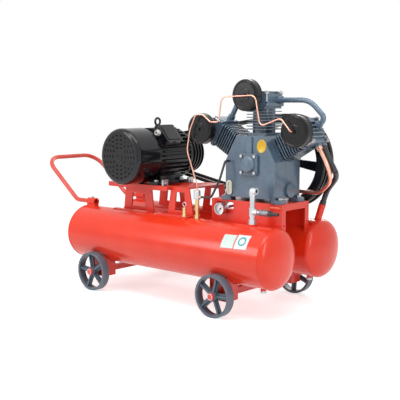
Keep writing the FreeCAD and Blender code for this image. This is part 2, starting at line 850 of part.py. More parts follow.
def drive_outline(y, width, small, large):
    """Solid bounded by the two wheels' tangents, the given radii away from each centre."""
    span = crank_x - motor_x
    rise = crank_z - motor_z
    tilt = math.atan2(rise, span)
    lean = math.asin((large - small) / math.hypot(span, rise))
    motor_centre = vec(motor_x, y, motor_z)
    crank_centre = vec(crank_x, y, crank_z)
    line = vec(math.cos(tilt), 0, math.sin(tilt))
    ends = []
    for sign in (1, -1):
        angle = tilt + sign * (math.pi / 2 + lean)
        normal = vec(math.cos(angle), 0, math.sin(angle))
        ends.append((motor_centre + normal * small, crank_centre + normal * large))
    (upper_small, upper_large), (lower_small, lower_large) = ends
    edges = [Part.makeLine(upper_small, upper_large),
             Part.Arc(upper_large, crank_centre + line * large, lower_large).toShape(),
             Part.makeLine(lower_large, lower_small),
             Part.Arc(lower_small, motor_centre - line * small, upper_small).toShape()]
    return Part.Face(Part.Wire(edges)).extrude(Y_AXIS * width)


def belt_layer(y, width, inner_offset, outer_offset):
    start = y - width / 2
    outer = drive_outline(start, width, motor_pulley_radius + outer_offset, flywheel_radius + outer_offset)
    inner = drive_outline(start, width, motor_pulley_radius + inner_offset, flywheel_radius + inner_offset)
    return outer.cut(inner)


def drive_belts():
    """Two wedge belts in the outermost grooves, each a narrow foot under a wide back."""
    belts = []
    for y in (groove_places()[0], groove_places()[-1]):
        foot = belt_layer(y, groove_bottom - 2 * belt_gap, belt_gap - groove_depth, belt_gap)
        back = belt_layer(y, groove_top, belt_gap, belt_back)
        belts.append(fuse([foot, back]))
    return belts


# ---- pump: crankcase ----
def bank_direction(bank):
    angle = math.radians(bank_angles[bank])
    return vec(math.sin(angle), 0, math.cos(angle))


def in_bank(shape, bank):
    """Turn a shape built upright over the crank axis into its cylinder bank."""
    placed = shape.copy()
    placed.rotate(vec(crank_x, 0, crank_z), Y_AXIS, bank_angles[bank])
    return placed


def crankcase_outline(inset):
    """Seven-sided case section; the slanting sides are the outer banks' decks."""
    deck = deck_distance - inset
    half = crankcase_half_width - inset
    angle = math.radians(cylinder_angle)
    low = crankcase_floor_z + inset
    side_z = crank_z + (deck - half * math.sin(angle)) / math.cos(angle)
    top_x = (deck - deck * math.cos(angle)) / math.sin(angle)
    return [vec(crank_x - half, 0, low), vec(crank_x - half, 0, side_z), vec(crank_x - top_x, 0, crank_z + deck),
            vec(crank_x + top_x, 0, crank_z + deck), vec(crank_x + half, 0, side_z), vec(crank_x + half, 0, low)]


def case_section(inset, y0, y1):
    points = [point + Y_AXIS * y0 for point in crankcase_outline(inset)]
    return prism(points, Y_AXIS * (y1 - y0))


def pump_foot_places():
    for side in (-1, 1):
        for y in (pump_front_y + foot_length / 2, pump_rear_y - foot_length / 2):
            yield crank_x + side * (foot_reach - 20), y, side


def crankcase():
    """Hollow casting with three cylinder decks, two bearing walls and four feet."""
    wall = crankcase_wall
    solid = case_section(0.0, pump_front_y, pump_rear_y)
    hollow = case_section(wall, pump_front_y + wall, pump_rear_y - wall)
    outside = [solid]
    for x, y, side in pump_foot_places():
        inner = crank_x + side * (crankcase_half_width - 30)
        outer = crank_x + side * foot_reach
        x0, x1 = sorted((inner, outer))
        foot = block(x0, x1, y - foot_length / 2, y + foot_length / 2, platform_top_z, platform_top_z + foot_thick)
        outside.append(rounded_edges(foot, 12.0, along(Z_AXIS)))
    outside.append(block(crank_x - 17, crank_x + 17, pump_front_y - 8, pump_front_y, crank_z + bearing_cap_size / 2,
                         crank_z + deck_distance - 6))
    outside.append(bar(vec(crank_x + crankcase_half_width, pump_y + 18, crankcase_floor_z + 42), X_AXIS,
                       side_cover_radius, 13))
    body = fuse(outside)
    tools = [hollow]
    tools.append(bar(vec(crank_x, pump_front_y - 1, crank_z), Y_AXIS, main_bearing_radius, wall + 2))
    tools.append(bar(vec(crank_x, pump_rear_y - wall - 1, crank_z), Y_AXIS, main_bearing_radius + 14, wall + 2))
    for bank in bank_angles:
        opening = bar(vec(crank_x, cylinder_y, crank_z + deck_distance - 40), Z_AXIS,
                      cylinder_bore + cylinder_wall + seat_clearance, 60)
        tools.append(in_bank(opening, bank))
    for x, y, _ in pump_foot_places():
        tools.append(bar(vec(x, y, platform_top_z - 1), Z_AXIS, mount_bolt_radius + seat_clearance, foot_thick + 2))
    return body.cut(tools)


def front_bearing_cap():
    """Square flanged cap with a domed centre over the front main bearing."""
    half = bearing_cap_size / 2
    face = pump_front_y - bearing_cap_thick
    plate = block(crank_x - half, crank_x + half, face, pump_front_y, crank_z - half, crank_z + half)
    plate = rounded_edges(plate, 14.0, along(Y_AXIS))
    profile = [(0, 0), (0, 43), (-8, 42), (-15, 36), (-18, 0)]
    dome = turned(profile, vec(crank_x, face, crank_z), Y_AXIS)
    spigot = ring(vec(crank_x, pump_front_y, crank_z), Y_AXIS, main_bearing_radius - 0.05,
                  crank_journal_radius + running_clearance, crankcase_wall)
    return fuse([plate, dome, spigot])


def rear_bearing_housing():
    """Tapered snout that carries the flywheel-side main bearing."""
    wall_y = pump_rear_y - crankcase_wall
    profile = [(0, crank_journal_radius + running_clearance), (0, main_bearing_radius + 13.7),
               (crankcase_wall, main_bearing_radius + 13.7), (crankcase_wall, rear_housing_radius + 12),
               (crankcase_wall + 12, rear_housing_radius + 12), (crankcase_wall + 14, rear_housing_radius - 6),
               (crankcase_wall + rear_housing_length, 44.0),
               (crankcase_wall + rear_housing_length, crank_journal_radius + running_clearance)]
    return turned(profile, vec(crank_x, wall_y, crank_z), Y_AXIS)


def oil_sight_glass():
    """Oval window in a thick plated frame low on the front wall."""
    x = crank_x - crankcase_half_width + 30
    z = crankcase_floor_z + 47
    frame = stadium(x, z, 18.0, 38.0, pump_front_y - 9, 9)
    opening = stadium(x, z, 10.0, 28.0, pump_front_y - 10, 7)
    return frame.cut(opening)


def stadium(x, z, half_width, half_height, y, depth):
    straight = half_height - half_width
    pieces = [block(x - half_width, x + half_width, y, y + depth, z - straight, z + straight)]
    for end in (-1, 1):
        pieces.append(bar(vec(x, y, z + end * straight), Y_AXIS, half_width, depth))
    return fuse(pieces)


# ---- pump: cylinders and heads ----
def upright_block(half_x, half_y, low, high):
    return block(crank_x - half_x, crank_x + half_x, cylinder_y - half_y, cylinder_y + half_y, crank_z + low, crank_z + high)


def upright_bar(radius, low, high):
    return bar(vec(crank_x, cylinder_y, crank_z + low), Z_AXIS, radius, high - low)


def stud_places():
    for sx in (-1, 1):
        for sy in (-1, 1):
            yield sx * (head_half_x - 9), sy * (head_half_y - 9)


def cylinder(bank):
    """Finned barrel between a deck flange and a head flange."""
    base = deck_distance
    top = head_base
    pieces = [upright_bar(cylinder_bore + cylinder_wall, base - 30, top)]
    flange = upright_block(deck_half_width, cylinder_half_y - 4, base, base + 14)
    pieces.append(rounded_edges(flange, 12.0, along(Z_AXIS)))
    lid = upright_block(cylinder_half_x - 4, cylinder_half_y, top - 12, top)
    pieces.append(rounded_edges(lid, 14.0, along(Z_AXIS)))
    first = base + 30
    step = (top - 14 - first) / cylinder_fins
    for index in range(cylinder_fins):
        low = first + index * step
        fin = upright_block(cylinder_half_x, cylinder_half_y, low, low + cylinder_fin_thick)
        pieces.append(rounded_edges(fin, 16.0, along(Z_AXIS)))
    bore = upright_bar(cylinder_bore, base - 31, top + 1)
    return in_bank(fuse(pieces).cut(bore), bank)


def head_ports(bank):
    """Side, height and y of the flange bosses on one head."""
    pipe_port = head_base + pipe_port_height
    if bank == "left":
        return [(1, pipe_port, head_pipe_y())]
    if bank == "middle":
        return [(1, pipe_port, head_pipe_y()), (-1, pipe_port, head_pipe_y())]
    return [(1, head_base + outlet_port_height, copper_port_y), (1, head_base + outlet_port_height, hose_port_y)]


def cylinder_head(bank):
    """Valve chamber with a base flange, top fins, an inlet face in front and a pipe port."""
    low = head_base
    flange = rounded_edges(upright_block(head_half_x + 6, head_half_y + 2, low, low + 16), 12.0,
                           along(Z_AXIS))
    body = rounded_edges(upright_block(head_half_x, head_half_y - 4, low + 14, head_top - 14), 12.0,
                         along(Z_AXIS))
    pieces = [flange, body]
    y = cylinder_y
    for index in range(5):
        x = crank_x + (index - 2) * (head_half_x - 28) / 2
        pieces.append(block(x - 3, x + 3, y - head_half_y + 8, y + head_half_y - 8, crank_z + head_top - 15,
                            crank_z + head_top))
    inlet = bar(vec(crank_x, y - head_half_y, crank_z + filter_distance), Y_AXIS, filter_neck_radius + 12, 12)
    pieces.append(inlet)
    if bank == "right":
        pieces.append(bar(vec(crank_x - top_port_shift, head_pipe_y(), crank_z + head_top - 18), Z_AXIS,
                          head_pipe_radius + 9, 20))
    for side, height, port_y in head_ports(bank):
        face = vec(crank_x + side * (head_half_x - 6), port_y, crank_z + height)
        pieces.append(bar(face, X_AXIS * side, pipe_boss_radius, pipe_boss_height + 6))
    chamber = upright_block(head_half_x - 12, head_half_y - 16, low - 1, head_top - 26)
    solid = fuse(pieces).cut(chamber)
    holes = [bar(vec(crank_x, y - head_half_y - 1, crank_z + filter_distance), Y_AXIS, filter_neck_radius - 4, 30)]
    for dx, dy in stud_places():
        holes.append(bar(vec(crank_x + dx, y + dy, crank_z + low - 1), Z_AXIS, stud_radius, head_height + 2))
    return in_bank(solid.cut(holes), bank)


def head_studs():
    studs = []
    for bank in bank_angles:
        y = cylinder_y
        for dx, dy in stud_places():
            seat = vec(crank_x + dx, y + dy, crank_z + head_top - 14)
            studs.append(in_bank(fuse([hexagon(seat, Z_AXIS, 19, 11), bar(seat - Z_AXIS * 40, Z_AXIS, stud_radius, 57)]), bank))
    return studs


def air_filter(bank):
    """Round intake silencer on a short neck in front of the head."""
    y = cylinder_y - head_half_y
    z = crank_z + filter_distance
    back = y - filter_neck
    front = back - filter_length
    profile = [(0, 0), (0, 30), (3, 34), (3, filter_radius - 16), (0, filter_radius - 12), (5, filter_radius - 2),
               (9, filter_radius), (filter_length - 14, filter_radius), (filter_length - 10, filter_radius + 2),
               (filter_length - 6, filter_radius), (filter_length, filter_radius - 8), (filter_length, 0)]
    can = turned(profile, vec(crank_x, front, z), Y_AXIS)
    neck = bar(vec(crank_x, back - 1, z), Y_AXIS, filter_neck_radius, filter_neck + 1)
    nut = hexagon(vec(crank_x, front, z), Y_AXIS * -1, 17, 9)
    body = in_bank(fuse([can, neck]), bank)
    turn = vec(crank_x, 0, crank_z)
    nut.rotate(turn, Y_AXIS, bank_angles[bank])
    return fuse([body, nut])


# ---- pump: moving parts ----
def crankshaft():
    """One-throw shaft: front journal, two weighted webs, long pin and a flywheel nose."""
    inner = cylinder_y
    pin_half = pin_half_length
    front = bar(vec(crank_x, pump_front_y + 1, crank_z), Y_AXIS, crank_journal_radius,
                inner - pin_half - pump_front_y - 1)
    rear_start = inner + pin_half
    rear = bar(vec(crank_x, rear_start, crank_z), Y_AXIS, crank_journal_radius,
               drive_y + drive_width + 6 - rear_start)
    pin = bar(vec(crank_x, inner - pin_half, crank_z + crank_throw), Y_AXIS, crank_pin_radius, 2 * pin_half)
    pieces = [front, rear, pin]
    for y in (inner - pin_half - crank_web_thick, inner + pin_half):
        web = bar(vec(crank_x, y, crank_z), Y_AXIS, crank_web_radius, crank_web_thick)
        trim = []
        for side in (-1, 1):
            x0, x1 = sorted((crank_x + side * 30, crank_x + side * 90))
            trim.append(block(x0, x1, y - 1, y + crank_web_thick + 1, crank_z, crank_z + 90))
        pieces.append(web.cut(trim))
    return fuse(pieces)


def flywheel_nut():
    start = drive_y + drive_width + 6
    return hexagon(vec(crank_x, start, crank_z), Y_AXIS, 46, 16)


def piston(bank):
    """Trunk piston with its wrist pin, and a rod shortened so that the big end clears the crank."""
    crown = head_base - piston_top_gap
    skirt = crown - piston_height
    outer = upright_bar(cylinder_bore - running_clearance, skirt, crown)
    inner = upright_bar(cylinder_bore - piston_wall, skirt - 1, crown - 10)
    pin_z = crank_z + skirt + 22
    y = cylinder_y
    pin = bar(vec(crank_x, y - cylinder_bore + 3, pin_z), Y_AXIS, 9.0, 2 * (cylinder_bore - 3))
    lug = ring(vec(crank_x, y - 12, pin_z), Y_AXIS, 17.0, 9.0, 24)
    shank = block(crank_x - 11, crank_x + 11, y - 6, y + 6, crank_z + skirt - rod_drop, pin_z - 14)
    return in_bank(fuse([outer.cut(inner), pin]), bank), in_bank(fuse([lug, shank]), bank)


# ---- pump platform ----
def pump_platform():
    """Inverted folded channel across both receivers, open at its ends behind narrow flanges."""
    x0 = machine_centre - platform_length / 2
    x1 = machine_centre + platform_length / 2
    half = platform_half_width
    thick = platform_plate
    low = tank_axis_z
    top = platform_top_z
    pieces = [block(x0, x1, -half, half, top - thick, top)]
    for side in (-1, 1):
        y0, y1 = sorted((side * half, side * (half - thick)))
        pieces.append(block(x0, x1, y0, y1, low, top))
        f0, f1 = sorted((side * half, side * (half - platform_flange)))
        for flange_x in (x0, x1 - thick):
            pieces.append(block(flange_x, flange_x + thick, f0, f1, low, top))
    for flange_x in (x0, x1 - thick):
        pieces.append(block(flange_x, flange_x + thick, -half, half, top - platform_flange, top))
    gauge_x = crank_x + gauge_station
    slot = block(gauge_x - 56, gauge_x + 62, -half - 1, -half + thick + 1, gauge_z - 4, gauge_z + 34)
    tools = [rounded_edges(slot, 12.0, along(Y_AXIS))]
    for x, y, _ in pump_foot_places():
        tools.append(bar(vec(x, y, top - thick - 1), Z_AXIS, mount_bolt_radius + seat_clearance, thick + 2))
    for y in (-half + platform_flange / 2, half - platform_flange / 2):
        tools.append(bar(vec(x1 - thick - 1, y, tank_axis_z + tank_radius), X_AXIS, 5.0, thick + 2))
    return largest(clear_of_tanks(fuse(pieces)).cut(tools))


def pump_bolts():
    bolts = []
    for x, y, _ in pump_foot_places():
        seat = vec(x, y, platform_top_z + foot_thick)
        bolts.append(hex_bolt(seat, Z_AXIS, mount_bolt_radius, foot_thick + platform_plate + 18))
        nut = hexagon(vec(x, y, platform_top_z - platform_plate - 12), Z_AXIS, 3.2 * mount_bolt_radius, 12)
        bolts.append(nut.cut(bar(vec(x, y, platform_top_z - 60), Z_AXIS, mount_bolt_radius, 60)))
    reach = bearing_cap_size / 2 - 14
    for dx in (-reach, reach):
        for dz in (-reach, reach):
            seat = vec(crank_x + dx, pump_front_y - bearing_cap_thick, crank_z + dz)
            bolts.append(hexagon(seat, Y_AXIS * -1, 15, 8))
    return bolts


# ---- pipework ----
def bank_point(bank, radial, tangential, y):
    """Place given by its distance from the crank axis along and across a bank."""
    out = bank_direction(bank)
    across = vec(out.z, 0, -out.x)
    return vec(crank_x, y, crank_z) + out * radial + across * tangential


def head_pipe_y():
    return cylinder_y + 30


def head_pipes():
    """Painted steel pipes that join the three heads."""
    y = head_pipe_y()
    mid = head_base + pipe_port_height
    face = head_half_x + pipe_boss_height
    right_start = bank_point("middle", mid, face, y)
    right_end = bank_point("right", head_top + 2, -top_port_shift, y)
    right = [right_start, right_start + X_AXIS * 176, right_end + bank_direction("right") * 55, right_end]
    left_start = bank_point("left", mid, face, y)
    left_out = vec(math.sin(math.radians(90 - cylinder_angle)), 0, math.cos(math.radians(90 - cylinder_angle)))
    left_end = bank_point("middle", mid, -face, y)
    rise = (left_end.z - left_start.z) / left_out.z
    left = [left_start, left_start + left_out * rise, left_end]
    pipes = []
    for points, bends in ((right, [120.0, 30.0]), (left, [60.0])):
        pipe = tube(points, bends, head_pipe_radius, head_pipe_bore)
        nuts = []
        for end, inner in ((points[0], points[1]), (points[-1], points[-2])):
            nuts.append(ring(end, (inner - end).normalize(), head_pipe_radius + 6, head_pipe_bore, 12))
        pipes.append(fuse([pipe] + nuts))
    return pipes


def head_outlet(y):
    return bank_point("right", head_base + outlet_port_height, head_half_x + pipe_boss_height, y)


def outlet_heading():
    """Outward normal of the right head's lower side."""
    out = bank_direction("right")
    return vec(out.z, 0, -out.x)


def copper_pipe():
    """Discharge pipe from the right head, down outside the flywheel and behind the case."""
    start = head_outlet(copper_port_y)
    down = outlet_heading()
    top = check_valve_place() + Z_AXIS * check_valve_height
    run_z = top.z + 66
    points = [start, start + down * 128, vec(crank_x + 372, 50, crank_z - 80), vec(crank_x + 262, 124, run_z),
              vec(top.x, top.y, run_z), top]
    pipe = tube(points, [90.0, 120.0, 120.0, 40.0], copper_radius, copper_radius - 1.5)
    nut = ring(start, down, copper_radius + 6, copper_radius - 1.5, 18)
    return fuse([pipe, nut])


def check_valve_place():
    return vec(crank_x + check_valve_station, check_valve_y, tank_top_z)


def check_valve():
    """Brass non-return valve on the rear receiver under the discharge pipe."""
    base = check_valve_place() - Z_AXIS * 20
    body = fuse([bar(base, Z_AXIS, 13.0, check_valve_height + 20), hexagon(base + Z_AXIS * 34, Z_AXIS, 34, 34),
                 hexagon(base + Z_AXIS * 80, Z_AXIS, 30, 16)])
    return clear_of_tanks(body.cut(bar(base, Z_AXIS, copper_radius - 1.5, check_valve_height + 21)), seat_clearance)


def stub_top():
    return vec(crank_x + stub_station, tank_y, tank_top_z) + leaning(stub_lean) * stub_height


def black_hoses():
    """Discharge hose to the rear receiver and the thin pilot hose to the regulator."""
    start = head_outlet(hose_port_y)
    top = stub_top()
    rise = leaning(stub_lean)
    points = [start, start + outlet_heading() * 104, vec(crank_x + 372, 118, crank_z - 55), top + rise * 72, top]
    clamp = ring(top, rise, hose_radius + 3, hose_radius - 4, 16)
    nut = ring(start, outlet_heading(), hose_radius + 3, hose_radius - 4, 18)
    big = fuse([tube(points, [90.0, 150.0, 90.0], hose_radius, hose_radius - 4), clamp, nut])
    branch = regulator_branch()
    case_port = vec(crank_x - crankcase_half_width + 24, pump_front_y, crank_z + 12)
    thin = [case_port, case_port - Y_AXIS * 34, vec(case_port.x - 10, branch.y + 12, branch.z + 96),
            branch + X_AXIS * 66, branch]
    return [big, tube(thin, [14.0, 60.0, 34.0], pilot_hose_radius, pilot_hose_radius - 2)]


def regulator_branch():
    """Free end of the regulator's side port."""
    return vec(crank_x + regulator_station + 30, -tank_y, tank_top_z + 118)


def regulator_top():
    return vec(crank_x + regulator_station, -tank_y, tank_top_z + regulator_height)


def regulator():
    """Pilot valve stack: brass body, slim stem and a wide plated cap."""
    base = regulator_top() - Z_AXIS * regulator_height
    stack = [hexagon(base, Z_AXIS, 30, 20), bar(base, Z_AXIS, 10.0, 66), hexagon(base + Z_AXIS * 44, Z_AXIS, 26, 16),
             bar(base + Z_AXIS * 60, Z_AXIS, 12.0, 52), bar(base + Z_AXIS * 104, Z_AXIS, 18.0, regulator_height - 104)]
    branch = bar(base + Z_AXIS * 118, X_AXIS, 7.0, 30)
    return fuse(stack + [branch])


def unloader_tube():
    """Small copper control line from the regulator's cap over the intake filters."""
    cap = regulator_top()
    z = crank_z
    x = crank_x
    front = unloader_y
    last = bank_point("right", filter_distance, 0, filter_front_y() - 9)
    points = [cap, cap + Z_AXIS * 28, vec(x - 368, front, z + 60), vec(x - 346, front, z + 170),
              vec(x - 305, front, z + 252), vec(x - 255, front, z + 250), vec(x - 205, front, z + 214),
              vec(x - 148, front, z + 214), vec(x - 130, front, z + 342), vec(x + 86, front, z + 350),
              vec(x + 116, front, z + 196), vec(x + 240, front, z + 240), vec(last.x, last.y - 14, last.z), last]
    bends = [60.0, 80.0, 60.0, 26.0, 25.0, 30.0, 22.0, 38.0, 36.0, 26.0, 30.0, 9.0]
    return tube(points, bends, unloader_radius, unloader_radius - 1)


def filter_front_y():
    return cylinder_y - head_half_y - filter_neck - filter_length


# ---- outlet, gauge and safety fittings ----
def outlet_axis(z):
    return vec(crank_x + outlet_station, -tank_y, z)


def outlet_riser():
    """Galvanised riser with a tee branch and a top elbow, screwed into the receiver boss."""
    r = outlet_pipe_radius
    base = outlet_axis(tank_top_z + outlet_boss_height)
    stem = bar(base, Z_AXIS, r, outlet_elbow_z - base.z)
    union = hexagon(base, Z_AXIS, 40, 24)
    collar = bar(outlet_axis(outlet_branch_z - 22), Z_AXIS, r + 4, 44)
    branch = bar(outlet_axis(outlet_branch_z), X_AXIS, r + 3, 34)
    nipple = bar(outlet_axis(outlet_branch_z), X_AXIS, r - 3, 50)
    elbow = fuse([bar(outlet_axis(outlet_elbow_z - 24), Z_AXIS, r + 4, 24),
                  Part.makeSphere(r + 4, outlet_axis(outlet_elbow_z)), bar(outlet_axis(outlet_elbow_z), X_AXIS, r + 4, 26)])
    solid = fuse([stem, union, collar, branch, nipple, elbow])
    bores = [bar(base - Z_AXIS, Z_AXIS, r - 4.5, outlet_elbow_z - base.z + 1),
             bar(outlet_axis(outlet_branch_z), X_AXIS, valve_bore, 60),
             bar(outlet_axis(outlet_elbow_z), X_AXIS, r - 4.5, 40)]
    return solid.cut(bores)


def valve_face():
    return outlet_axis(outlet_branch_z) + X_AXIS * 50


def ball_valve_body():
    """Two-piece valve body with hexagon ends and a stem boss on top."""
    start = valve_face()
    pieces = [hexagon(start, X_AXIS, 30, 12), bar(start, X_AXIS, 15.0, valve_length),
              hexagon(start + X_AXIS * (valve_length - 12), X_AXIS, 30, 12)]
    boss = bar(start + X_AXIS * (valve_length / 2), Z_AXIS, 8.0, valve_stem_height - 4)
    bore = bar(start - X_AXIS, X_AXIS, valve_bore, valve_length + 2)
    stem_bore = bar(start + X_AXIS * (valve_length / 2), Z_AXIS, 3.6 + running_clearance, valve_stem_height)
    return fuse(pieces + [boss]).cut([bore, stem_bore])


def valve_lever():
    """Stem, cranked flat lever and its dipped sleeve, turning about Z above the valve."""
    pivot = valve_face() + X_AXIS * (valve_length / 2)
    top = pivot.z + valve_stem_height
    stem = bar(vec(pivot.x, pivot.y, pivot.z + valve_bore + 1), Z_AXIS, 3.6, valve_stem_height - valve_bore - 1)
    arm = block(pivot.x - 9, pivot.x + 30, pivot.y - 8, pivot.y + 8, top - 3, top)
    crank = prism([vec(pivot.x + 26, pivot.y - 8, top - 3), vec(pivot.x + 40, pivot.y - 8, top + 7),
                   vec(pivot.x + 40, pivot.y - 8, top + 10), vec(pivot.x + 24, pivot.y - 8, top)], Y_AXIS * 16)
    grip = rounded_edges(block(pivot.x + 36, pivot.x + lever_length, pivot.y - 9, pivot.y + 9, top + 4, top + 13),
                         4.0, along(X_AXIS))
    nut = hexagon(vec(pivot.x, pivot.y, top), Z_AXIS, 11, 5)
    return fuse([stem, arm, crank, grip, nut])


def hose_tail():
    """Swivel nut and barbed tail that a delivery hose is pushed on."""
    start = valve_face() + X_AXIS * valve_length
    profile = [(0, valve_bore - 1), (0, 14), (16, 14), (18, 9.5), (24, 9.5), (24, tail_radius), (32, 8.4),
               (32, tail_radius), (40, 8.4), (40, tail_radius), (48, 8.4), (48, tail_radius), (58, 8.0),
               (58, valve_bore - 1)]
    return turned(profile, start, X_AXIS)


def gauge_centre():
    return vec(crank_x + gauge_station, -platform_half_width - 30, gauge_z)


def pressure_gauge():
    """Dial gauge case on a brass elbow that goes back through the platform slot."""
    centre = gauge_centre()
    case = turned([(8 - gauge_depth, gauge_radius - 3), (8 - gauge_depth, gauge_radius), (8, gauge_radius), (8, 0),
                   (0, 0), (0, gauge_radius - 3)], centre, Y_AXIS)
    post = block(centre.x - 7, centre.x + 7, centre.y + 7, centre.y + 24, centre.z + 5, centre.z + 19)
    cross = hexagon(vec(centre.x + 7, centre.y + 17, centre.z + 12), X_AXIS, 14, 36)
    back = hexagon(vec(centre.x + 36, centre.y + 10, centre.z + 12), Y_AXIS, 13, 52)
    return fuse([case, post, cross, back])


def gauge_needle():
    """Pointer on a short arbor in front of the dial."""
    centre = gauge_centre() - Y_AXIS * 7.0
    hub = bar(centre, Y_AXIS, 3.2, 4)
    pointer = prism([vec(centre.x - 2.2, centre.y, centre.z - 7), vec(centre.x + 2.2, centre.y, centre.z - 7),
                     vec(centre.x, centre.y, centre.z + gauge_radius - 9)], Y_AXIS * 1.2)
    needle = fuse([hub, pointer])
    needle.rotate(gauge_centre(), Y_AXIS, -135)
    return needle


def safety_valve_seat():
    return vec(crank_x + safety_valve_station, -tank_y - safety_valve_offset, tank_top_z + safety_boss_height)


def safety_valve():
    base = safety_valve_seat()
    body = fuse([hexagon(base, Z_AXIS, 24, 14), bar(base, Z_AXIS, 9.0, 46), hexagon(base + Z_AXIS * 38, Z_AXIS, 20, 10)])
    stem = bar(base + Z_AXIS * 20, Z_AXIS, 3.0 + running_clearance, 60)
    return body.cut(stem)


def safety_valve_ring():
    base = safety_valve_seat()
    stem = bar(base + Z_AXIS * 22, Z_AXIS, 3.0, 34)
    loop = Part.makeTorus(11.0, 1.8, base + Z_AXIS * 66, Y_AXIS)
    return fuse([stem, loop])


# ---- the parts ----
front_bosses = [(regulator_station, 0.0, 16.0, 0.0, 0.0), (outlet_station, 0.0, 22.0, outlet_boss_height, 0.0),
                (safety_valve_station, safety_valve_offset, 15.0, safety_boss_height, 0.0)]
rear_bosses = [(stub_station, 0.0, stub_radius, stub_height, stub_lean)]
axles = [wheel_axle(crank_x + wheel_station + sign * wheel_base / 2) for sign in (-1, 1)]
outer_bridge = pedestal(outer_pedestal_station, outer_pedestal_top, outer_pedestal_base,
                        stand_top_z - rail_height)
inner_bridge = pedestal(inner_pedestal_station, inner_pedestal_top, inner_pedestal_base, stand_top_z)
parts = {
    "front_tank": [tank(-1, front_bosses)],
    "rear_tank": [tank(1, rear_bosses)],
    "balance_pipe": [balance_pipe()],
    "wheel_brackets": wheel_brackets(),
    "wheel_axles": axles,
    "tow_handle": [tow_handle()],
    "outer_pedestal": [outer_bridge],
    "inner_pedestal": [inner_bridge],
    "motor_rails": motor_rails(),
    "pump_platform": [pump_platform()],
    "frame_fasteners": axle_collars() + drain_plugs() + handle_bolts() + motor_bolts() + belt_tensioners(),
    "motor_housing": [motor_housing()],
    "drive_end_shield": [end_shield(axis_y(housing_end_y), Y_AXIS)],
    "fan_end_shield": [end_shield(axis_y(housing_start_y), Y_AXIS * -1)],
    "fan_cover": [fan_cover()],
    "stator_core": [stator_core()],
    "motor_rotor": motor_rotor(),
    "motor_bearings": motor_bearings(),
    "cooling_fan": [cooling_fan()],
    "terminal_box": [terminal_box()],
    "terminal_box_lid": [terminal_box_lid()],
    "cable_gland": [cable_gland()],
    "lifting_eye": [lifting_eye()],
    "motor_pulley": [motor_pulley()],
    "drive_belts": drive_belts(),
    "flywheel": [flywheel()],
    "crankcase": [crankcase()],
    "front_bearing_cap": [front_bearing_cap()],
    "rear_bearing_housing": [rear_bearing_housing()],
    "oil_sight_glass": [oil_sight_glass()],
    "crankshaft": [crankshaft(), flywheel_nut()],
    "pump_fasteners": head_studs() + pump_bolts(),
    "air_filters": [air_filter(bank) for bank in bank_angles],
    "head_pipes": head_pipes(),
    "copper_pipe": [copper_pipe()],
    "check_valve": [check_valve()],
    "black_hoses": black_hoses(),
    "regulator": [regulator()],
    "unloader_tube": [unloader_tube()],
    "outlet_riser": [outlet_riser()],
    "ball_valve_body": [ball_valve_body()],
    "valve_lever": [valve_lever()],
    "hose_tail": [hose_tail()],
    "pressure_gauge": [pressure_gauge()],
    "gauge_needle": [gauge_needle()],
    "safety_valve": [safety_valve()],
    "safety_valve_ring": [safety_valve_ring()],
}
for bank in bank_angles:
    parts[f"{bank}_cylinder"] = [cylinder(bank)]
    parts[f"{bank}_head"] = [cylinder_head(bank)]
    parts[f"{bank}_piston"] = list(piston(bank))
for index, (wheel_name, wheel_x, wheel_side) in enumerate(wheel_places()):
    parts[wheel_name] = [cast_wheel(wheel_x, wheel_side, wheel_phases[index])]

os.makedirs("parts", exist_ok=True)
for name, solids in parts.items():
    shape = solids[0] if len(solids) == 1 else Part.makeCompound(solids)
    shape.exportStep(f"parts/{name}.step")
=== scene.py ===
import json
import math

import bmesh
import bpy
from mathutils import Matrix, Vector


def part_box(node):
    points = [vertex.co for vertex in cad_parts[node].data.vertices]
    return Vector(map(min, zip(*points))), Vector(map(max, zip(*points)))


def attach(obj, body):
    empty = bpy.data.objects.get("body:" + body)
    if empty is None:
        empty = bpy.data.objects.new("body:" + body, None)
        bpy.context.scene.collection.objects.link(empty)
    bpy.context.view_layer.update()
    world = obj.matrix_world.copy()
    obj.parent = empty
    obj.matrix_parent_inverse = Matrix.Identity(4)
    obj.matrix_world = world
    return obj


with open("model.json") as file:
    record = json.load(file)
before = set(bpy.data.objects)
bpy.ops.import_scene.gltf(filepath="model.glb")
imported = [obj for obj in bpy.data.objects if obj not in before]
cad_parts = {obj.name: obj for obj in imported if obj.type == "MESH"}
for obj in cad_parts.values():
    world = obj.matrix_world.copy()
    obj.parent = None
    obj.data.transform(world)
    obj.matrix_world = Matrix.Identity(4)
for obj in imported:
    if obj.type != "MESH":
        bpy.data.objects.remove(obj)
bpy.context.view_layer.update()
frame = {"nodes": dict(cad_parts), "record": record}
nodes = frame["nodes"]
joints = {joint["name"]: joint for joint in frame["record"]["behaviour"]["joints"]}

# ---- camera ----
# A long lens a little above the machine's top, off the pump end on the gauge side,
# so that the front receiver runs away to the left.
lens = bpy.data.cameras.new("camera")
lens.lens = 72.44
lens.sensor_width = 36.0
lens.clip_end = 60.0
camera = bpy.data.objects.new("camera", lens)
bpy.context.collection.objects.link(camera)
camera.location = (3.1033, -3.3746, 1.0815)
camera.rotation_euler = (math.radians(83.0), 0.0, math.radians(41.29))
bpy.context.scene.camera = camera
bpy.context.scene.view_settings.view_transform = "Standard"


# ---- studio floor and light ----
# A wide matt white floor, with large soft lamps above on both sides and a pale room around,
# so that gloss paint picks up long soft highlights.
def new_material(name):
    """Material with its Principled shader; returns the material, its tree and the shader."""
    made = bpy.data.materials.new(name)
    made.use_nodes = True
    tree = made.node_tree
    return made, tree, tree.nodes["Principled BSDF"]


def join(tree, source, output, target, socket):
    tree.links.new(source.outputs[output], target.inputs[socket])


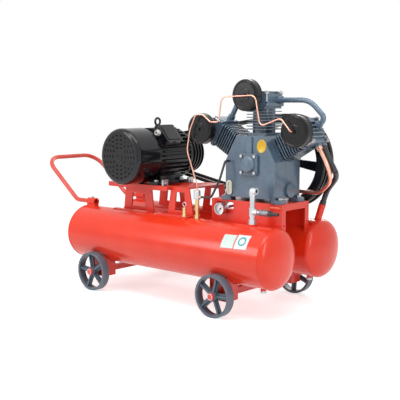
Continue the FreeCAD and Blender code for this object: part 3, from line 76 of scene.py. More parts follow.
def sum_node(tree, kind, first, second):
    """Math node; each side is a number or a (node, output) pair."""
    node = tree.nodes.new("ShaderNodeMath")
    node.operation = kind
    for index, side in enumerate((first, second)):
        if isinstance(side, tuple):
            tree.links.new(side[0].outputs[side[1]], node.inputs[index])
        else:
            node.inputs[index].default_value = side
    return node


def seen_rays(tree):
    """One where the camera, a reflection or glass sees the surface, and nought for light rays."""
    rays = tree.nodes.new("ShaderNodeLightPath")
    mirrored = sum_node(tree, "MAXIMUM", (rays, "Is Glossy Ray"), (rays, "Is Transmission Ray"))
    return sum_node(tree, "MAXIMUM", (rays, "Is Camera Ray"), (mirrored, "Value"))


def hang_lamp(name, place, aim, width, height, watts, tint=(1.0, 1.0, 1.0)):
    lamp = bpy.data.lights.new(name, "AREA")
    lamp.shape = "RECTANGLE"
    lamp.size = width
    lamp.size_y = height
    lamp.energy = watts
    lamp.color = tint
    hung = bpy.data.objects.new(name, lamp)
    bpy.context.collection.objects.link(hung)
    hung.location = place
    hung.rotation_euler = (Vector(aim) - Vector(place)).to_track_quat("-Z", "Y").to_euler()


floor_mesh = bpy.data.meshes.new("studio_floor")
floor_mesh.from_pydata([(-30, -30, 0), (30, -30, 0), (30, 30, 0), (-30, 30, 0)], [], [(0, 1, 2, 3)])
floor = bpy.data.objects.new("studio_floor", floor_mesh)
bpy.context.collection.objects.link(floor)
floor_white, tree, shader = new_material("studio_white")
shader.inputs["Base Color"].default_value = (0.8, 0.8, 0.8, 1.0)
shader.inputs["Roughness"].default_value = 0.9
glow = tree.nodes.new("ShaderNodeEmission")
glow.inputs["Color"].default_value = (1.0, 1.0, 1.0, 1.0)
glow.inputs["Strength"].default_value = 0.62
blend = tree.nodes.new("ShaderNodeMixShader")
both = tree.nodes.new("ShaderNodeAddShader")
join(tree, shader, "BSDF", both, 0)
join(tree, glow, "Emission", both, 1)
join(tree, seen_rays(tree), "Value", blend, 0)
join(tree, shader, "BSDF", blend, 1)
join(tree, both, "Shader", blend, 2)
join(tree, blend, "Shader", tree.nodes["Material Output"], "Surface")
floor_mesh.materials.append(floor_white)

room = bpy.data.worlds.new("pale_room")
bpy.context.scene.world = room
room.use_nodes = True
tree = room.node_tree
sky = tree.nodes["Background"]
level = tree.nodes.new("ShaderNodeMapRange")
level.inputs["To Min"].default_value = 0.42
level.inputs["To Max"].default_value = 1.0
sky.inputs["Color"].default_value = (1.0, 1.0, 1.0, 1.0)
join(tree, seen_rays(tree), "Value", level, "Value")
join(tree, level, "Result", sky, "Strength")
hang_lamp("lamp_above", (0.6, -1.2, 3.4), (0.1, 0.0, 0.5), 3.2, 1.6, 62)
hang_lamp("lamp_pump_end", (3.4, -1.0, 1.7), (0.6, 0.0, 0.5), 0.5, 2.0, 22)
hang_lamp("lamp_gauge_side", (-1.8, -3.2, 2.0), (0.0, 0.0, 0.5), 1.2, 1.6, 34)
hang_lamp("lamp_belt_side", (-0.5, 3.2, 2.2), (0.0, 0.0, 0.6), 2.4, 1.2, 40)


# ---- receivers ----
# Two rolled steel shells with pressed dished heads, welded at the knuckle and sprayed with
# bright red enamel. The balance pipe between them is welded in and sprayed with them.
def new_group(name, inputs, outputs):
    """Empty shader node group with float inputs (name, default) and float or vector outputs."""
    group = bpy.data.node_groups.new(name, "ShaderNodeTree")
    for label, value in inputs:
        socket = group.interface.new_socket(label, in_out="INPUT", socket_type="NodeSocketFloat")
        socket.default_value = value
    for label, kind in outputs:
        group.interface.new_socket(label, in_out="OUTPUT", socket_type=kind)
    return group, group.nodes.new("NodeGroupInput"), group.nodes.new("NodeGroupOutput")


def noise_node(tree, place, scale, detail=4.0, rough=0.55):
    node = tree.nodes.new("ShaderNodeTexNoise")
    node.inputs["Scale"].default_value = scale
    node.inputs["Detail"].default_value = detail
    node.inputs["Roughness"].default_value = rough
    join(tree, place, "Object", node, "Vector")
    return node


def ranged(tree, node, output, low, high, to_low=0.0, to_high=1.0):
    span = tree.nodes.new("ShaderNodeMapRange")
    span.inputs["From Min"].default_value = low
    span.inputs["From Max"].default_value = high
    span.inputs["To Min"].default_value = to_low
    span.inputs["To Max"].default_value = to_high
    join(tree, node, output, span, "Value")
    return span


def worn_edge_group():
    """Mask of the sharp edges that handling rubs bare, broken up by noise, and an eased normal."""
    group, given, result = new_group("worn_edges", [("Radius", 0.003), ("Amount", 1.0)],
                                     [("Mask", "NodeSocketFloat"), ("Normal", "NodeSocketVector")])
    ease = group.nodes.new("ShaderNodeBevel")
    ease.samples = 4
    join(group, given, "Radius", ease, "Radius")
    flat = group.nodes.new("ShaderNodeNewGeometry")
    dot = group.nodes.new("ShaderNodeVectorMath")
    dot.operation = "DOT_PRODUCT"
    join(group, ease, "Normal", dot, 0)
    join(group, flat, "Normal", dot, 1)
    turn = ranged(group, dot, "Value", 0.985, 0.86)
    place = group.nodes.new("ShaderNodeTexCoord")
    chips = ranged(group, noise_node(group, place, 55.0, 6.0, 0.7), "Fac", 0.42, 0.62)
    worn = sum_node(group, "MULTIPLY", (turn, "Result"), (chips, "Result"))
    amount = sum_node(group, "MULTIPLY", (worn, "Value"), (given, "Amount"))
    join(group, amount, "Value", result, "Mask")
    join(group, ease, "Normal", result, "Normal")
    return group


def dust_and_shade_group():
    """Masks of the dust on upward faces and of painted shade, where ambient occlusion darkens the corners."""
    group, given, result = new_group("dust_and_corner_shade", [("Reach", 0.03), ("Dust", 0.3), ("Dirt", 0.6)],
                                     [("Dust", "NodeSocketFloat"), ("Dirt", "NodeSocketFloat")])
    shape = group.nodes.new("ShaderNodeNewGeometry")
    split = group.nodes.new("ShaderNodeSeparateXYZ")
    join(group, shape, "Normal", split, "Vector")
    up = ranged(group, split, "Z", 0.35, 1.0)
    place = group.nodes.new("ShaderNodeTexCoord")
    drift = ranged(group, noise_node(group, place, 14.0, 5.0, 0.65), "Fac", 0.38, 0.7)
    lying = sum_node(group, "MULTIPLY", (up, "Result"), (drift, "Result"))
    dust = sum_node(group, "MULTIPLY", (lying, "Value"), (given, "Dust"))
    # Painted shade: ambient occlusion, broken by noise specks, darkens the corners and creases.
    corner = group.nodes.new("ShaderNodeAmbientOcclusion")
    corner.samples = 4
    join(group, given, "Reach", corner, "Distance")
    held = ranged(group, corner, "AO", 0.75, 0.25)
    speck = ranged(group, noise_node(group, place, 34.0, 4.0), "Fac", 0.3, 0.6)
    corner_darkening = sum_node(group, "MULTIPLY", (held, "Result"), (speck, "Result"))
    corner_shade = sum_node(group, "MULTIPLY", (corner_darkening, "Value"), (given, "Dirt"))
    join(group, dust, "Value", result, "Dust")
    join(group, corner_shade, "Value", result, "Dirt")
    return group


def sprayed_skin_group():
    """Height of the fine orange peel in sprayed enamel, and the slow drift of its tone."""
    group, given, result = new_group("sprayed_skin", [("Peel", 1.0), ("Drift", 1.0)],
                                     [("Height", "NodeSocketFloat"), ("Tone", "NodeSocketFloat")])
    place = group.nodes.new("ShaderNodeTexCoord")
    peel = noise_node(group, place, 260.0, 2.0, 0.5)
    run = noise_node(group, place, 9.0, 3.0, 0.5)
    tall = sum_node(group, "MULTIPLY", (peel, "Fac"), (given, "Peel"))
    swell = sum_node(group, "MULTIPLY", (run, "Fac"), 0.35)
    height = sum_node(group, "ADD", (tall, "Value"), (swell, "Value"))
    drift = ranged(group, noise_node(group, place, 4.0, 4.0, 0.6), "Fac", 0.3, 0.7)
    tone = sum_node(group, "MULTIPLY", (drift, "Result"), (given, "Drift"))
    join(group, height, "Value", result, "Height")
    join(group, tone, "Value", result, "Tone")
    return group


def cast_skin_group():
    """Height and tone of a sand casting seen through its paint."""
    group, given, result = new_group("cast_skin", [("Grain", 300.0), ("Depth", 1.0)],
                                     [("Height", "NodeSocketFloat"), ("Tone", "NodeSocketFloat")])
    place = group.nodes.new("ShaderNodeTexCoord")
    sand = group.nodes.new("ShaderNodeTexVoronoi")
    sand.inputs["Randomness"].default_value = 1.0
    join(group, place, "Object", sand, "Vector")
    join(group, given, "Grain", sand, "Scale")
    lump = noise_node(group, place, 60.0, 5.0, 0.6)
    height = sum_node(group, "ADD", (sand, "Distance"), (lump, "Fac"))
    deep = sum_node(group, "MULTIPLY", (height, "Value"), (given, "Depth"))
    tone = ranged(group, noise_node(group, place, 11.0, 5.0, 0.6), "Fac", 0.32, 0.68)
    join(group, deep, "Value", result, "Height")
    join(group, tone, "Result", result, "Tone")
    return group


worn_edges = worn_edge_group()
dust_and_corner_shade = dust_and_shade_group()
sprayed_skin = sprayed_skin_group()
cast_skin = cast_skin_group()


def place_group(tree, group, **values):
    node = tree.nodes.new("ShaderNodeGroup")
    node.node_tree = group
    for label, value in values.items():
        node.inputs[label].default_value = value
    return node


def tinted(tree, source, output, base, over):
    """Mix of two colours by a mask; base is a colour or a (node, output) pair."""
    mix = tree.nodes.new("ShaderNodeMix")
    mix.data_type = "RGBA"
    tree.links.new(source.outputs[output], mix.inputs["Factor"])
    if isinstance(base[0], bpy.types.Node):
        tree.links.new(base[0].outputs[base[1]], mix.inputs["A"])
    else:
        mix.inputs["A"].default_value = (*base, 1.0)
    mix.inputs["B"].default_value = (*over, 1.0)
    return mix


def painted(name, skin, colour, deeper, bare, rough, coat, edge, dust, corner_shade, relief, gleam=0.5):
    """Paint over metal: toned colour, rubbed edges, dust on top, painted shade darkening the corners."""
    made, tree, shader = new_material(name)
    surface = place_group(tree, skin)
    rub = place_group(tree, worn_edges, Radius=edge, Amount=0.75)
    dust_and_shade = place_group(tree, dust_and_corner_shade, Dust=dust, Dirt=corner_shade)
    toned = tinted(tree, surface, "Tone", colour, deeper)
    rubbed = tinted(tree, rub, "Mask", (toned, "Result"), bare)
    # Painted shade: the corners are mixed towards a far darker copy of the paint colour.
    corner_shaded = tinted(tree, dust_and_shade, "Dirt", (rubbed, "Result"), tuple(part * 0.12 for part in colour))
    dusty = tinted(tree, dust_and_shade, "Dust", (corner_shaded, "Result"), (0.42, 0.40, 0.37))
    join(tree, dusty, "Result", shader, "Base Color")
    cover = sum_node(tree, "ADD", (dust_and_shade, "Dust"), (rub, "Mask"))
    gloss = ranged(tree, cover, "Value", 0.0, 1.0, rough, min(1.0, rough + 0.45))
    join(tree, gloss, "Result", shader, "Roughness")
    shader.inputs["Coat Weight"].default_value = coat
    shader.inputs["Specular IOR Level"].default_value = gleam
    shader.inputs["Coat Roughness"].default_value = 0.12
    bump = tree.nodes.new("ShaderNodeBump")
    bump.inputs["Strength"].default_value = relief
    bump.inputs["Distance"].default_value = 0.0006
    join(tree, surface, "Height", bump, "Height")
    join(tree, rub, "Normal", bump, "Normal")
    join(tree, bump, "Normal", shader, "Normal")
    return made


def dress(finish, *names):
    """Gives CAD nodes one finish in all their material slots."""
    for name in names:
        mesh = nodes[name].data
        if not mesh.materials:
            mesh.materials.append(finish)
        for index in range(len(mesh.materials)):
            mesh.materials[index] = finish


def new_piece(name, verts, faces, finish, body="machine", smooth=True):
    """Mesh piece that rides on a body."""
    mesh = bpy.data.meshes.new(name)
    mesh.from_pydata([tuple(v) for v in verts], [], faces)
    mesh.update()
    for face in mesh.polygons:
        face.use_smooth = smooth
    mesh.materials.append(finish)
    piece = bpy.data.objects.new(name, mesh)
    bpy.context.collection.objects.link(piece)
    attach(piece, body)
    return piece


def swept_bead(name, path, closed, radius, finish, body="machine", ripple=0.18):
    """Weld bead laid along a path, with the small overlapping ripples of a hand weld."""
    count = len(path)
    sides = 8
    verts = []
    for index, point in enumerate(path):
        ahead = path[(index + 1) % count] if closed or index < count - 1 else point
        behind = path[index - 1] if closed or index else point
        heading = (ahead - behind).normalized()
        across = heading.orthogonal().normalized()
        if abs(heading.x) < 0.95:
            across = heading.cross(Vector((1, 0, 0))).normalized()
        upward = heading.cross(across)
        here = radius * (1.0 + ripple * math.sin(index * 2.1))
        for side in range(sides):
            angle = side * math.tau / sides
            verts.append(point + across * (math.cos(angle) * here) + upward * (math.sin(angle) * here))
    faces = []
    spans = count if closed else count - 1
    for index in range(spans):
        a = index * sides
        b = ((index + 1) % count) * sides
        for side in range(sides):
            nxt = (side + 1) % sides
            faces.append((a + side, a + nxt, b + nxt, b + side))
    return new_piece(name, verts, faces, finish, body)


receiver_enamel = painted("receiver_enamel", sprayed_skin, (0.93, 0.048, 0.014), (0.84, 0.036, 0.010),
                          (0.30, 0.05, 0.03), 0.26, 0.22, 0.0025, 0.02, 0.35, 0.10, 0.35)
dress(receiver_enamel, "front_tank", "rear_tank", "balance_pipe")
tank_box = {name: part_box(name) for name in ("front_tank", "rear_tank")}
tank_radius = 0.1535
tank_axis_z = 0.308
knuckle_from_end = 0.055
tank_y = {"front_tank": -0.2045, "rear_tank": 0.2045}
seam_steps = 300
seam_line = tank_radius + 0.0002
for name, (low, high) in tank_box.items():
    for label, x in (("handle_end", low.x + knuckle_from_end), ("pump_end", high.x - knuckle_from_end)):
        ring = [Vector((x, tank_y[name] + seam_line * math.cos(turn * math.tau / seam_steps),
                        tank_axis_z + seam_line * math.sin(turn * math.tau / seam_steps)))
                for turn in range(seam_steps)]
        swept_bead(f"{name}_seam_{label}", ring, True, 0.0019, receiver_enamel)


# ---- receiver stickers ----
# Two printed vinyl stickers pressed on the front receiver's flank near its pump end,
# pale mint and white with a teal ring, following the curve of the shell.
def wrapped_label(name, x0, x1, z_high, drop, finish, lean=0.0):
    """Thin sheet that follows the front receiver's flank, its top edge at height z_high."""
    top = math.asin((z_high - tank_axis_z) / tank_radius)
    bottom = top - drop / tank_radius
    columns, rows = 12, 16
    verts = []
    skin = tank_radius + 0.0004
    for row in range(rows + 1):
        angle = bottom + (top - bottom) * row / rows
        for column in range(columns + 1):
            share = column / columns
            turn = angle + lean * (share - 0.5)
            verts.append((x0 + (x1 - x0) * share + 0.02 * lean * row / rows,
                          tank_y["front_tank"] - skin * math.cos(turn), tank_axis_z + skin * math.sin(turn)))
    wide = columns + 1
    faces = [(r * wide + c, r * wide + c + 1, (r + 1) * wide + c + 1, (r + 1) * wide + c)
             for r in range(rows) for c in range(columns)]
    return new_piece(name, verts, faces, finish)


def print_on_label(tree, place, centre, radius):
    """Soft-edged round mask in a label's own 0 to 1 space."""
    shift = tree.nodes.new("ShaderNodeVectorMath")
    shift.operation = "SUBTRACT"
    join(tree, place, "Generated", shift, 0)
    shift.inputs[1].default_value = centre
    flat = tree.nodes.new("ShaderNodeVectorMath")
    flat.operation = "MULTIPLY"
    join(tree, shift, "Vector", flat, 0)
    flat.inputs[1].default_value = (1.0, 0.0, 1.0)
    size = tree.nodes.new("ShaderNodeVectorMath")
    size.operation = "LENGTH"
    join(tree, flat, "Vector", size, 0)
    return ranged(tree, size, "Value", radius + 0.02, radius)


vinyl_mint, tree, shader = new_material("vinyl_mint")
place = tree.nodes.new("ShaderNodeTexCoord")
split = tree.nodes.new("ShaderNodeSeparateXYZ")
join(tree, place, "Generated", split, "Vector")
stretched = sum_node(tree, "MULTIPLY", (split, "Z"), 44.0)
bands = sum_node(tree, "SINE", (stretched, "Value"), 0.0)
faint = ranged(tree, bands, "Value", 0.2, 0.6, 0.0, 0.35)
inked = tinted(tree, faint, "Result", (0.74, 0.86, 0.80), (0.42, 0.70, 0.62))
join(tree, inked, "Result", shader, "Base Color")
shader.inputs["Roughness"].default_value = 0.32
wrapped_label("label_mint", 0.578, 0.655, 0.423, 0.074, vinyl_mint, 0.02)

vinyl_white, tree, shader = new_material("vinyl_white")
place = tree.nodes.new("ShaderNodeTexCoord")
outer = print_on_label(tree, place, (0.5, 0.0, 0.56), 0.30)
inner = print_on_label(tree, place, (0.5, 0.0, 0.56), 0.19)
hollow = sum_node(tree, "SUBTRACT", (outer, "Result"), (inner, "Result"))
ringed = tinted(tree, hollow, "Value", (0.86, 0.88, 0.86), (0.03, 0.42, 0.46))
join(tree, ringed, "Result", shader, "Base Color")
shader.inputs["Roughness"].default_value = 0.32
wrapped_label("label_white", 0.662, 0.738, 0.428, 0.079, vinyl_white, 0.02)


# ---- wheels, axles and brackets ----
# Grey iron castings with five ribbed spokes, painted blue-grey and worn on the tread, turning
# on round bar ends under folded brackets that are welded to the receivers.
wheel_paint = painted("wheel_paint", cast_skin, (0.130, 0.170, 0.215), (0.085, 0.118, 0.158),
                      (0.30, 0.31, 0.32), 0.42, 0.12, 0.0035, 0.18, 0.5, 0.35)
frame_enamel = painted("frame_enamel", sprayed_skin, (0.91, 0.050, 0.020), (0.78, 0.036, 0.015),
                       (0.32, 0.10, 0.07), 0.34, 0.28, 0.003, 0.06, 0.5, 0.14)
bar_steel, tree, shader = new_material("bar_steel")
drawn = place_group(tree, sprayed_skin, Peel=0.4)
rub = place_group(tree, worn_edges, Radius=0.002, Amount=0.5)
dust_and_shade = place_group(tree, dust_and_corner_shade, Dust=0.05, Dirt=0.5)
plated = tinted(tree, drawn, "Tone", (0.56, 0.57, 0.58), (0.42, 0.43, 0.45))
# Painted shade: the steel's corners darken towards near black.
shade_darkened = tinted(tree, dust_and_shade, "Dirt", (plated, "Result"), (0.10, 0.09, 0.08))
join(tree, shade_darkened, "Result", shader, "Base Color")
shader.inputs["Metallic"].default_value = 1.0
gloss = ranged(tree, drawn, "Tone", 0.0, 1.0, 0.24, 0.42)
join(tree, gloss, "Result", shader, "Roughness")
join(tree, rub, "Normal", shader, "Normal")
wheels = ("front_wheel_motor_end", "front_wheel_pump_end", "rear_wheel_motor_end", "rear_wheel_pump_end")
dress(wheel_paint, *wheels)
dress(frame_enamel, "wheel_brackets", "wheel_axles")


def lathe(name, profile, centre, axis, finish, body="machine", steps=64):
    """Turned piece from (along, radius) points about an axis through centre."""
    axis = Vector(axis).normalized()
    side = axis.orthogonal().normalized()
    other = axis.cross(side)
    verts = []
    for along, radius in profile:
        for step in range(steps):
            angle = step * math.tau / steps
            outward = side * math.cos(angle) + other * math.sin(angle)
            verts.append(Vector(centre) + axis * along + outward * radius)
    faces = []
    for row in range(len(profile) - 1):
        near, far = row * steps, (row + 1) * steps
        for step in range(steps):
            nxt = (step + 1) % steps
            faces.append((near + step, near + nxt, far + nxt, far + step))
    piece = new_piece(name, verts, faces, finish, body)
    mesh = piece.data
    shape = bmesh.new()
    shape.from_mesh(mesh)
    bmesh.ops.remove_doubles(shape, verts=shape.verts, dist=1e-6)
    bmesh.ops.recalc_face_normals(shape, faces=shape.faces)
    shape.to_mesh(mesh)
    shape.free()
    mesh.set_sharp_from_angle(angle=math.radians(32))
    return piece


def hex_screw(name, seat, axis, flats, height, finish, body="machine"):
    """Chamfered hexagon head on a washer, standing on seat along axis."""
    axis = Vector(axis).normalized()
    seat = Vector(seat)
    side = axis.orthogonal().normalized()
    other = axis.cross(side)
    corner = flats / math.sqrt(3)
    verts = []
    for along, reach in ((0.0, corner), (height * 0.8, corner), (height, corner * 0.82)):
        for step in range(6):
            angle = step * math.tau / 6
            verts.append(seat + axis * along + (side * math.cos(angle) + other * math.sin(angle)) * reach)
    faces = [(row * 6 + step, row * 6 + (step + 1) % 6, row * 6 + 6 + (step + 1) % 6, row * 6 + 6 + step)
             for row in range(2) for step in range(6)]
    faces.append(tuple(range(12, 18)))
    new_piece(name, verts, faces, finish, body, smooth=False)
    rim = corner * 1.15
    washer = [(0.0, rim), (0.0011, rim), (0.0015, rim * 0.96), (0.0015, corner * 0.5)]
    lathe(f"{name}_washer", washer, seat, axis, finish, body, 32)


# ---- hub caps ----
# A pressed steel cap over each wheel's bar end, painted red with the frame. It stays with the
# axle while the wheel turns behind it.
for wheel in wheels:
    low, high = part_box(wheel)
    middle = (low + high) / 2
    outward = -1.0 if middle.y < 0 else 1.0
    face = low.y if outward < 0 else high.y
    bar_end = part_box("frame_fasteners")
    reach = abs((bar_end[0].y if outward < 0 else bar_end[1].y) - face)
    crown = reach - 0.0006
    cap = [(-0.001, 0.0205), (reach * 0.55, 0.0205), (reach * 0.8, 0.0185), (crown, 0.0125), (crown, 0.0)]
    lathe(f"hub_cap_{wheel}", cap, (middle.x, face, middle.z), (0, outward, 0), frame_enamel)


# ---- tow handle ----
# One bent tube with a rounded cross grip, held in sockets on the receivers by cross bolts,
# its enamel rubbed duller along the grip.
handle_enamel = painted("handle_enamel", sprayed_skin, (0.84, 0.085, 0.050), (0.62, 0.05, 0.03),
                        (0.34, 0.12, 0.09), 0.42, 0.18, 0.002, 0.10, 0.4, 0.2)
dress(handle_enamel, "tow_handle")


# ---- motor stand and pump platform ----
# Folded and welded plate bridges, slotted rails and a folded channel platform, all in red enamel,
# with zinc plated bolts and tensioner screws.
dress(frame_enamel, "outer_pedestal", "inner_pedestal", "motor_rails", "pump_platform")
dress(bar_steel, "frame_fasteners", "pump_fasteners")


# ---- motor ----
# Grey iron body with long straight fins, iron end shields and a pressed steel cowl, all in
# glossy black enamel; the terminal box lid is pressed and the gland is white nylon.
motor_black = painted("motor_black", cast_skin, (0.0040, 0.0042, 0.0055), (0.0075, 0.0080, 0.0115),
                      (0.08, 0.08, 0.09), 0.22, 0.2, 0.0025, 0.01, 0.2, 0.18, 0.3)
cowl_black = painted("cowl_black", sprayed_skin, (0.0035, 0.0036, 0.0050), (0.0065, 0.0068, 0.0100),
                     (0.05, 0.05, 0.055), 0.16, 0.25, 0.002, 0.01, 0.2, 0.10, 0.3)
dress(motor_black, "motor_housing", "drive_end_shield", "fan_end_shield", "terminal_box")
dress(cowl_black, "fan_cover", "terminal_box_lid")
dress(bar_steel, "motor_rotor", "motor_bearings")
dress(motor_black, "lifting_eye")


# Six screws hold each end shield to the body.
screw_circle = 0.138
screw_sink = 0.020
shield_low, shield_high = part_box("drive_end_shield")
shaft_line = (shield_low + shield_high) / 2
for label, node, outward in (("drive", "drive_end_shield", 1.0), ("fan", "fan_end_shield", -1.0)):
    low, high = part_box(node)
    face = low.y + screw_sink if outward > 0 else high.y - screw_sink
    for turn in range(6):
        angle = math.radians(30 + 60 * turn)
        hex_screw(f"shield_screw_{label}_{turn}", (shaft_line.x + screw_circle * math.cos(angle), face,
                                                    shaft_line.z + screw_circle * math.sin(angle)),
                  (0, outward, 0), 0.013, 0.006, bar_steel)


def plain_metal(name, colour, deeper, rough, corner_shade, grain, relief, metal=1.0):
    """Bare metal with a drifting tone, a fine machined or drawn grain and painted shade darkening the
    corners.
    """
    made, tree, shader = new_material(name)
    surface = place_group(tree, cast_skin, Grain=grain, Depth=0.6)
    dust_and_shade = place_group(tree, dust_and_corner_shade, Reach=0.012, Dust=0.03, Dirt=corner_shade)
    rub = place_group(tree, worn_edges, Radius=0.0012, Amount=0.0)
    toned = tinted(tree, surface, "Tone", colour, deeper)
    # Painted shade: the corners are mixed towards a far darker copy of the metal colour.
    corner_shaded = tinted(tree, dust_and_shade, "Dirt", (toned, "Result"), tuple(part * 0.18 for part in colour))
    join(tree, corner_shaded, "Result", shader, "Base Color")
    shader.inputs["Metallic"].default_value = metal
    gloss = ranged(tree, surface, "Tone", 0.0, 1.0, rough, rough + 0.16)
    join(tree, gloss, "Result", shader, "Roughness")
    bump = tree.nodes.new("ShaderNodeBump")
    bump.inputs["Strength"].default_value = relief
    bump.inputs["Distance"].default_value = 0.0003
    join(tree, surface, "Height", bump, "Height")
    join(tree, rub, "Normal", bump, "Normal")
    join(tree, bump, "Normal", shader, "Normal")
    return made


core_steel = plain_metal("core_steel", (0.30, 0.30, 0.31), (0.20, 0.20, 0.22), 0.45, 0.4, 700.0, 0.3)
fan_aluminium = plain_metal("fan_aluminium", (0.70, 0.71, 0.72), (0.58, 0.59, 0.61), 0.35, 0.3, 500.0, 0.25)
white_nylon = plain_metal("white_nylon", (0.82, 0.82, 0.79), (0.74, 0.74, 0.71), 0.38, 0.5, 900.0, 0.15, 0.0)
dress(core_steel, "stator_core")
dress(fan_aluminium, "cooling_fan")
dress(white_nylon, "cable_gland")


# ---- belt drive ----
# Grooved iron pulleys in black enamel, bright in the grooves, and two moulded rubber belts
# with a dull fabric cover.
dress(motor_black, "motor_pulley", "flywheel")
belt_rubber, tree, shader = new_material("belt_rubber")
cloth = place_group(tree, cast_skin, Grain=900.0, Depth=1.2)
dust_and_shade = place_group(tree, dust_and_corner_shade, Dust=0.15, Dirt=0.2)
chalky = tinted(tree, cloth, "Tone", (0.012, 0.012, 0.013), (0.026, 0.026, 0.027))
powdered = tinted(tree, dust_and_shade, "Dust", (chalky, "Result"), (0.14, 0.13, 0.12))
join(tree, powdered, "Result", shader, "Base Color")
shader.inputs["Roughness"].default_value = 0.72
bump = tree.nodes.new("ShaderNodeBump")
bump.inputs["Strength"].default_value = 0.5
bump.inputs["Distance"].default_value = 0.0004
join(tree, cloth, "Height", bump, "Height")
join(tree, bump, "Normal", shader, "Normal")
dress(belt_rubber, "drive_belts")


# ---- pump castings ----
# Sand-cast iron crankcase, finned cylinders and heads in blue-grey machinery enamel,
# with painted shade darkening the fillets and the upper faces paler with dust.
pump_enamel = painted("pump_enamel", cast_skin, (0.120, 0.185, 0.255), (0.078, 0.128, 0.188),
                      (0.30, 0.38, 0.46), 0.26, 0.5, 0.004, 0.05, 0.9, 0.30)
dress(pump_enamel, "crankcase", "front_bearing_cap", "rear_bearing_housing",
      *(f"{bank}_{part}" for bank in ("left", "middle", "right") for part in ("cylinder", "head")))
dress(core_steel, "crankshaft")
dress(fan_aluminium, "left_piston", "middle_piston", "right_piston")
bezel_nickel = plain_metal("bezel_nickel", (0.72, 0.70, 0.62), (0.60, 0.58, 0.50), 0.28, 0.4, 600.0, 0.2)
dress(bezel_nickel, "oil_sight_glass")


# ---- intake filters ----
# Round pressed steel canisters in black enamel on short necks in front of the heads, each
# with a shallow ring pressed into its front and a rolled rim behind.
filter_black = painted("filter_black", sprayed_skin, (0.0050, 0.0050, 0.0058), (0.0090, 0.0090, 0.0105),
                       (0.05, 0.05, 0.05), 0.26, 0.1, 0.002, 0.01, 0.3, 0.20, 0.25)
dress(filter_black, "air_filters")


# ---- pipework ----
# Painted steel pipes between the heads, a bright copper discharge pipe, thin copper control line,
# and black rubber hoses held by band clamps.
pipe_enamel = painted("pipe_enamel", sprayed_skin, (0.130, 0.200, 0.280), (0.090, 0.145, 0.210),
                      (0.34, 0.38, 0.42), 0.24, 0.4, 0.002, 0.08, 0.4, 0.12)
dress(pipe_enamel, "head_pipes")
tube_copper = plain_metal("tube_copper", (0.93, 0.52, 0.40), (0.80, 0.38, 0.27), 0.22, 0.3, 420.0, 0.15)
turned_brass = plain_metal("turned_brass", (0.80, 0.60, 0.30), (0.66, 0.47, 0.22), 0.26, 0.5, 500.0, 0.2)
galvanised = plain_metal("galvanised", (0.66, 0.68, 0.70), (0.50, 0.52, 0.55), 0.30, 0.4, 160.0, 0.25)
hose_rubber = painted("hose_rubber", sprayed_skin, (0.018, 0.019, 0.022), (0.030, 0.031, 0.035),
                      (0.06, 0.06, 0.06), 0.40, 0.1, 0.001, 0.08, 0.2, 0.3)
dress(tube_copper, "copper_pipe", "unloader_tube")
dress(turned_brass, "check_valve", "regulator", "safety_valve")
dress(hose_rubber, "black_hoses")
dress(galvanised, "outlet_riser", "safety_valve_ring")


# ---- outlet valve and gauge ----
# Nickel plated ball valve with a dipped red lever, a barbed tail, and a dial gauge with a
# printed white face under a clear window.
dress(core_steel, "ball_valve_body")
dress(hose_rubber, "hose_tail")
lever_sleeve = painted("lever_sleeve", sprayed_skin, (0.85, 0.12, 0.035), (0.72, 0.08, 0.02),
                       (0.3, 0.1, 0.06), 0.42, 0.1, 0.001, 0.05, 0.3, 0.2)
dress(lever_sleeve, "valve_lever")
dress(galvanised, "pressure_gauge")
dress(filter_black, "gauge_needle")
needle_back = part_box("gauge_needle")[1].y
dial_centre = Vector(joints["needle_swing"]["pos_m"])
dial_face = needle_back + 0.0025
dial_enamel, tree, shader = new_material("dial_enamel")
speck = place_group(tree, sprayed_skin, Peel=0.2)
tone = tinted(tree, speck, "Tone", (0.92, 0.92, 0.90), (0.86, 0.86, 0.83))
join(tree, tone, "Result", shader, "Base Color")
shader.inputs["Roughness"].default_value = 0.35
dial_ink, tree, shader = new_material("dial_ink")
faded = place_group(tree, sprayed_skin, Peel=0.2)
tone = tinted(tree, faded, "Tone", (0.010, 0.010, 0.012), (0.022, 0.022, 0.026))
join(tree, tone, "Result", shader, "Base Color")
shader.inputs["Roughness"].default_value = 0.5
lathe("gauge_dial", [(-0.0006, 0.0), (-0.0006, 0.0280), (0.0, 0.0280)],
      (dial_centre.x, dial_face - 0.0012, dial_centre.z), (0, 1, 0), dial_enamel)
verts, faces = [], []
for tick in range(31):
    angle = math.radians(225 - tick * 9)
    inner = 0.0215 if tick % 5 == 0 else 0.0235
    half = 0.00045 if tick % 5 == 0 else 0.00022
    outward = Vector((math.cos(angle), 0, math.sin(angle)))
    across = Vector((-math.sin(angle), 0, math.cos(angle))) * half
    centre = Vector((dial_centre.x, dial_face - 0.0020, dial_centre.z))
    start = len(verts)
    verts += [centre + outward * inner - across, centre + outward * 0.0262 - across,
              centre + outward * 0.0262 + across, centre + outward * inner + across]
    faces.append((start, start + 1, start + 2, start + 3))
new_piece("gauge_scale", verts, faces, dial_ink, smooth=False)
clear_glass, tree, shader = new_material("clear_glass")
smear = place_group(tree, sprayed_skin, Peel=0.3)
gloss = ranged(tree, smear, "Tone", 0.0, 1.0, 0.02, 0.06)
join(tree, gloss, "Result", shader, "Roughness")
shader.inputs["Base Color"].default_value = (1.0, 1.0, 1.0, 1.0)
shader.inputs["Transmission Weight"].default_value = 1.0
shader.inputs["IOR"].default_value = 1.05
gauge_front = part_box("pressure_gauge")[0].y
lathe("gauge_window", [(0.0, 0.0), (0.0, 0.0282), (0.0012, 0.0282), (0.0012, 0.0)],
      (dial_centre.x, gauge_front + 0.002, dial_centre.z), (0, 1, 0), clear_glass)


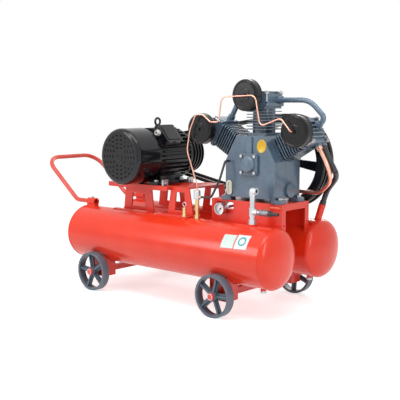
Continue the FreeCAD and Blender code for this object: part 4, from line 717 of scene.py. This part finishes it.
# ---- regulator cap ----
# Bright plated cap over the top of the regulator's brass body, turned with nine
# narrow ribs for grip.
low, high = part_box("regulator")
cap_line = Vector((low.x + 0.018, (low.y + high.y) / 2, low.z + 0.104))
cap_height = high.z - cap_line.z
profile = [(-0.0004, 0.0135), (-0.0004, 0.0183)]
for groove in range(9):
    start = 0.004 + groove * (cap_height - 0.010) / 9
    profile += [(start, 0.0187), (start + 0.0026, 0.0187), (start + 0.0032, 0.0183), (start + 0.0040, 0.0183)]
profile += [(cap_height - 0.003, 0.0186), (cap_height + 0.0004, 0.0165), (cap_height + 0.0004, 0.0042)]
lathe("regulator_cap", profile, cap_line, (0, 0, 1), galvanised)


# ---- oval plate ----
# Blank pressed plate in yellow enamel with a raised rim, fixed by two rivets to the
# crankcase's front between two cylinders.
plate_yellow, tree, shader = new_material("plate_yellow")
skin = place_group(tree, sprayed_skin, Peel=0.5)
dust_and_shade = place_group(tree, dust_and_corner_shade, Reach=0.01, Dust=0.05, Dirt=0.4)
tone = tinted(tree, skin, "Tone", (0.86, 0.56, 0.02), (0.74, 0.44, 0.015))
# Painted shade: the plate's rim and corners darken towards a dark brown.
shade_darkened = tinted(tree, dust_and_shade, "Dirt", (tone, "Result"), (0.12, 0.08, 0.02))
join(tree, shade_darkened, "Result", shader, "Base Color")
gloss = ranged(tree, skin, "Tone", 0.0, 1.0, 0.28, 0.40)
join(tree, gloss, "Result", shader, "Roughness")
plate_centre = Vector((0.662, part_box("crankcase")[0].y + 0.008, 0.856))
plate_steps = 72
plate_half_width, plate_half_height = 0.029, 0.034
plate_lean = math.radians(-14)
plate_rings = ((1.0, 0.0002), (1.0, -0.0010), (0.96, -0.0014),
               (0.88, -0.0014), (0.86, -0.0010), (0.0, -0.0010))
verts = []
for share, depth in plate_rings:
    for step in range(plate_steps):
        angle = step * math.tau / plate_steps
        across = plate_half_width * share * math.cos(angle)
        upward = plate_half_height * share * math.sin(angle)
        turned_x = across * math.cos(plate_lean) - upward * math.sin(plate_lean)
        turned_z = across * math.sin(plate_lean) + upward * math.cos(plate_lean)
        verts.append(plate_centre + Vector((turned_x, depth, turned_z)))
faces = []
for ring in range(len(plate_rings) - 1):
    near, far = ring * plate_steps, (ring + 1) * plate_steps
    for step in range(plate_steps):
        nxt = (step + 1) % plate_steps
        faces.append((near + step, near + nxt, far + nxt, far + step))
new_piece("oval_plate", verts, faces, plate_yellow)
for label, side in (("upper", 1), ("lower", -1)):
    lathe(f"oval_plate_rivet_{label}", [(0.0, 0.0028), (0.0010, 0.0025), (0.0017, 0.0014), (0.0019, 0.0)],
          plate_centre + Vector((side * 0.0065, -0.0012, side * 0.0255)), (0, -1, 0), bar_steel, steps=20)
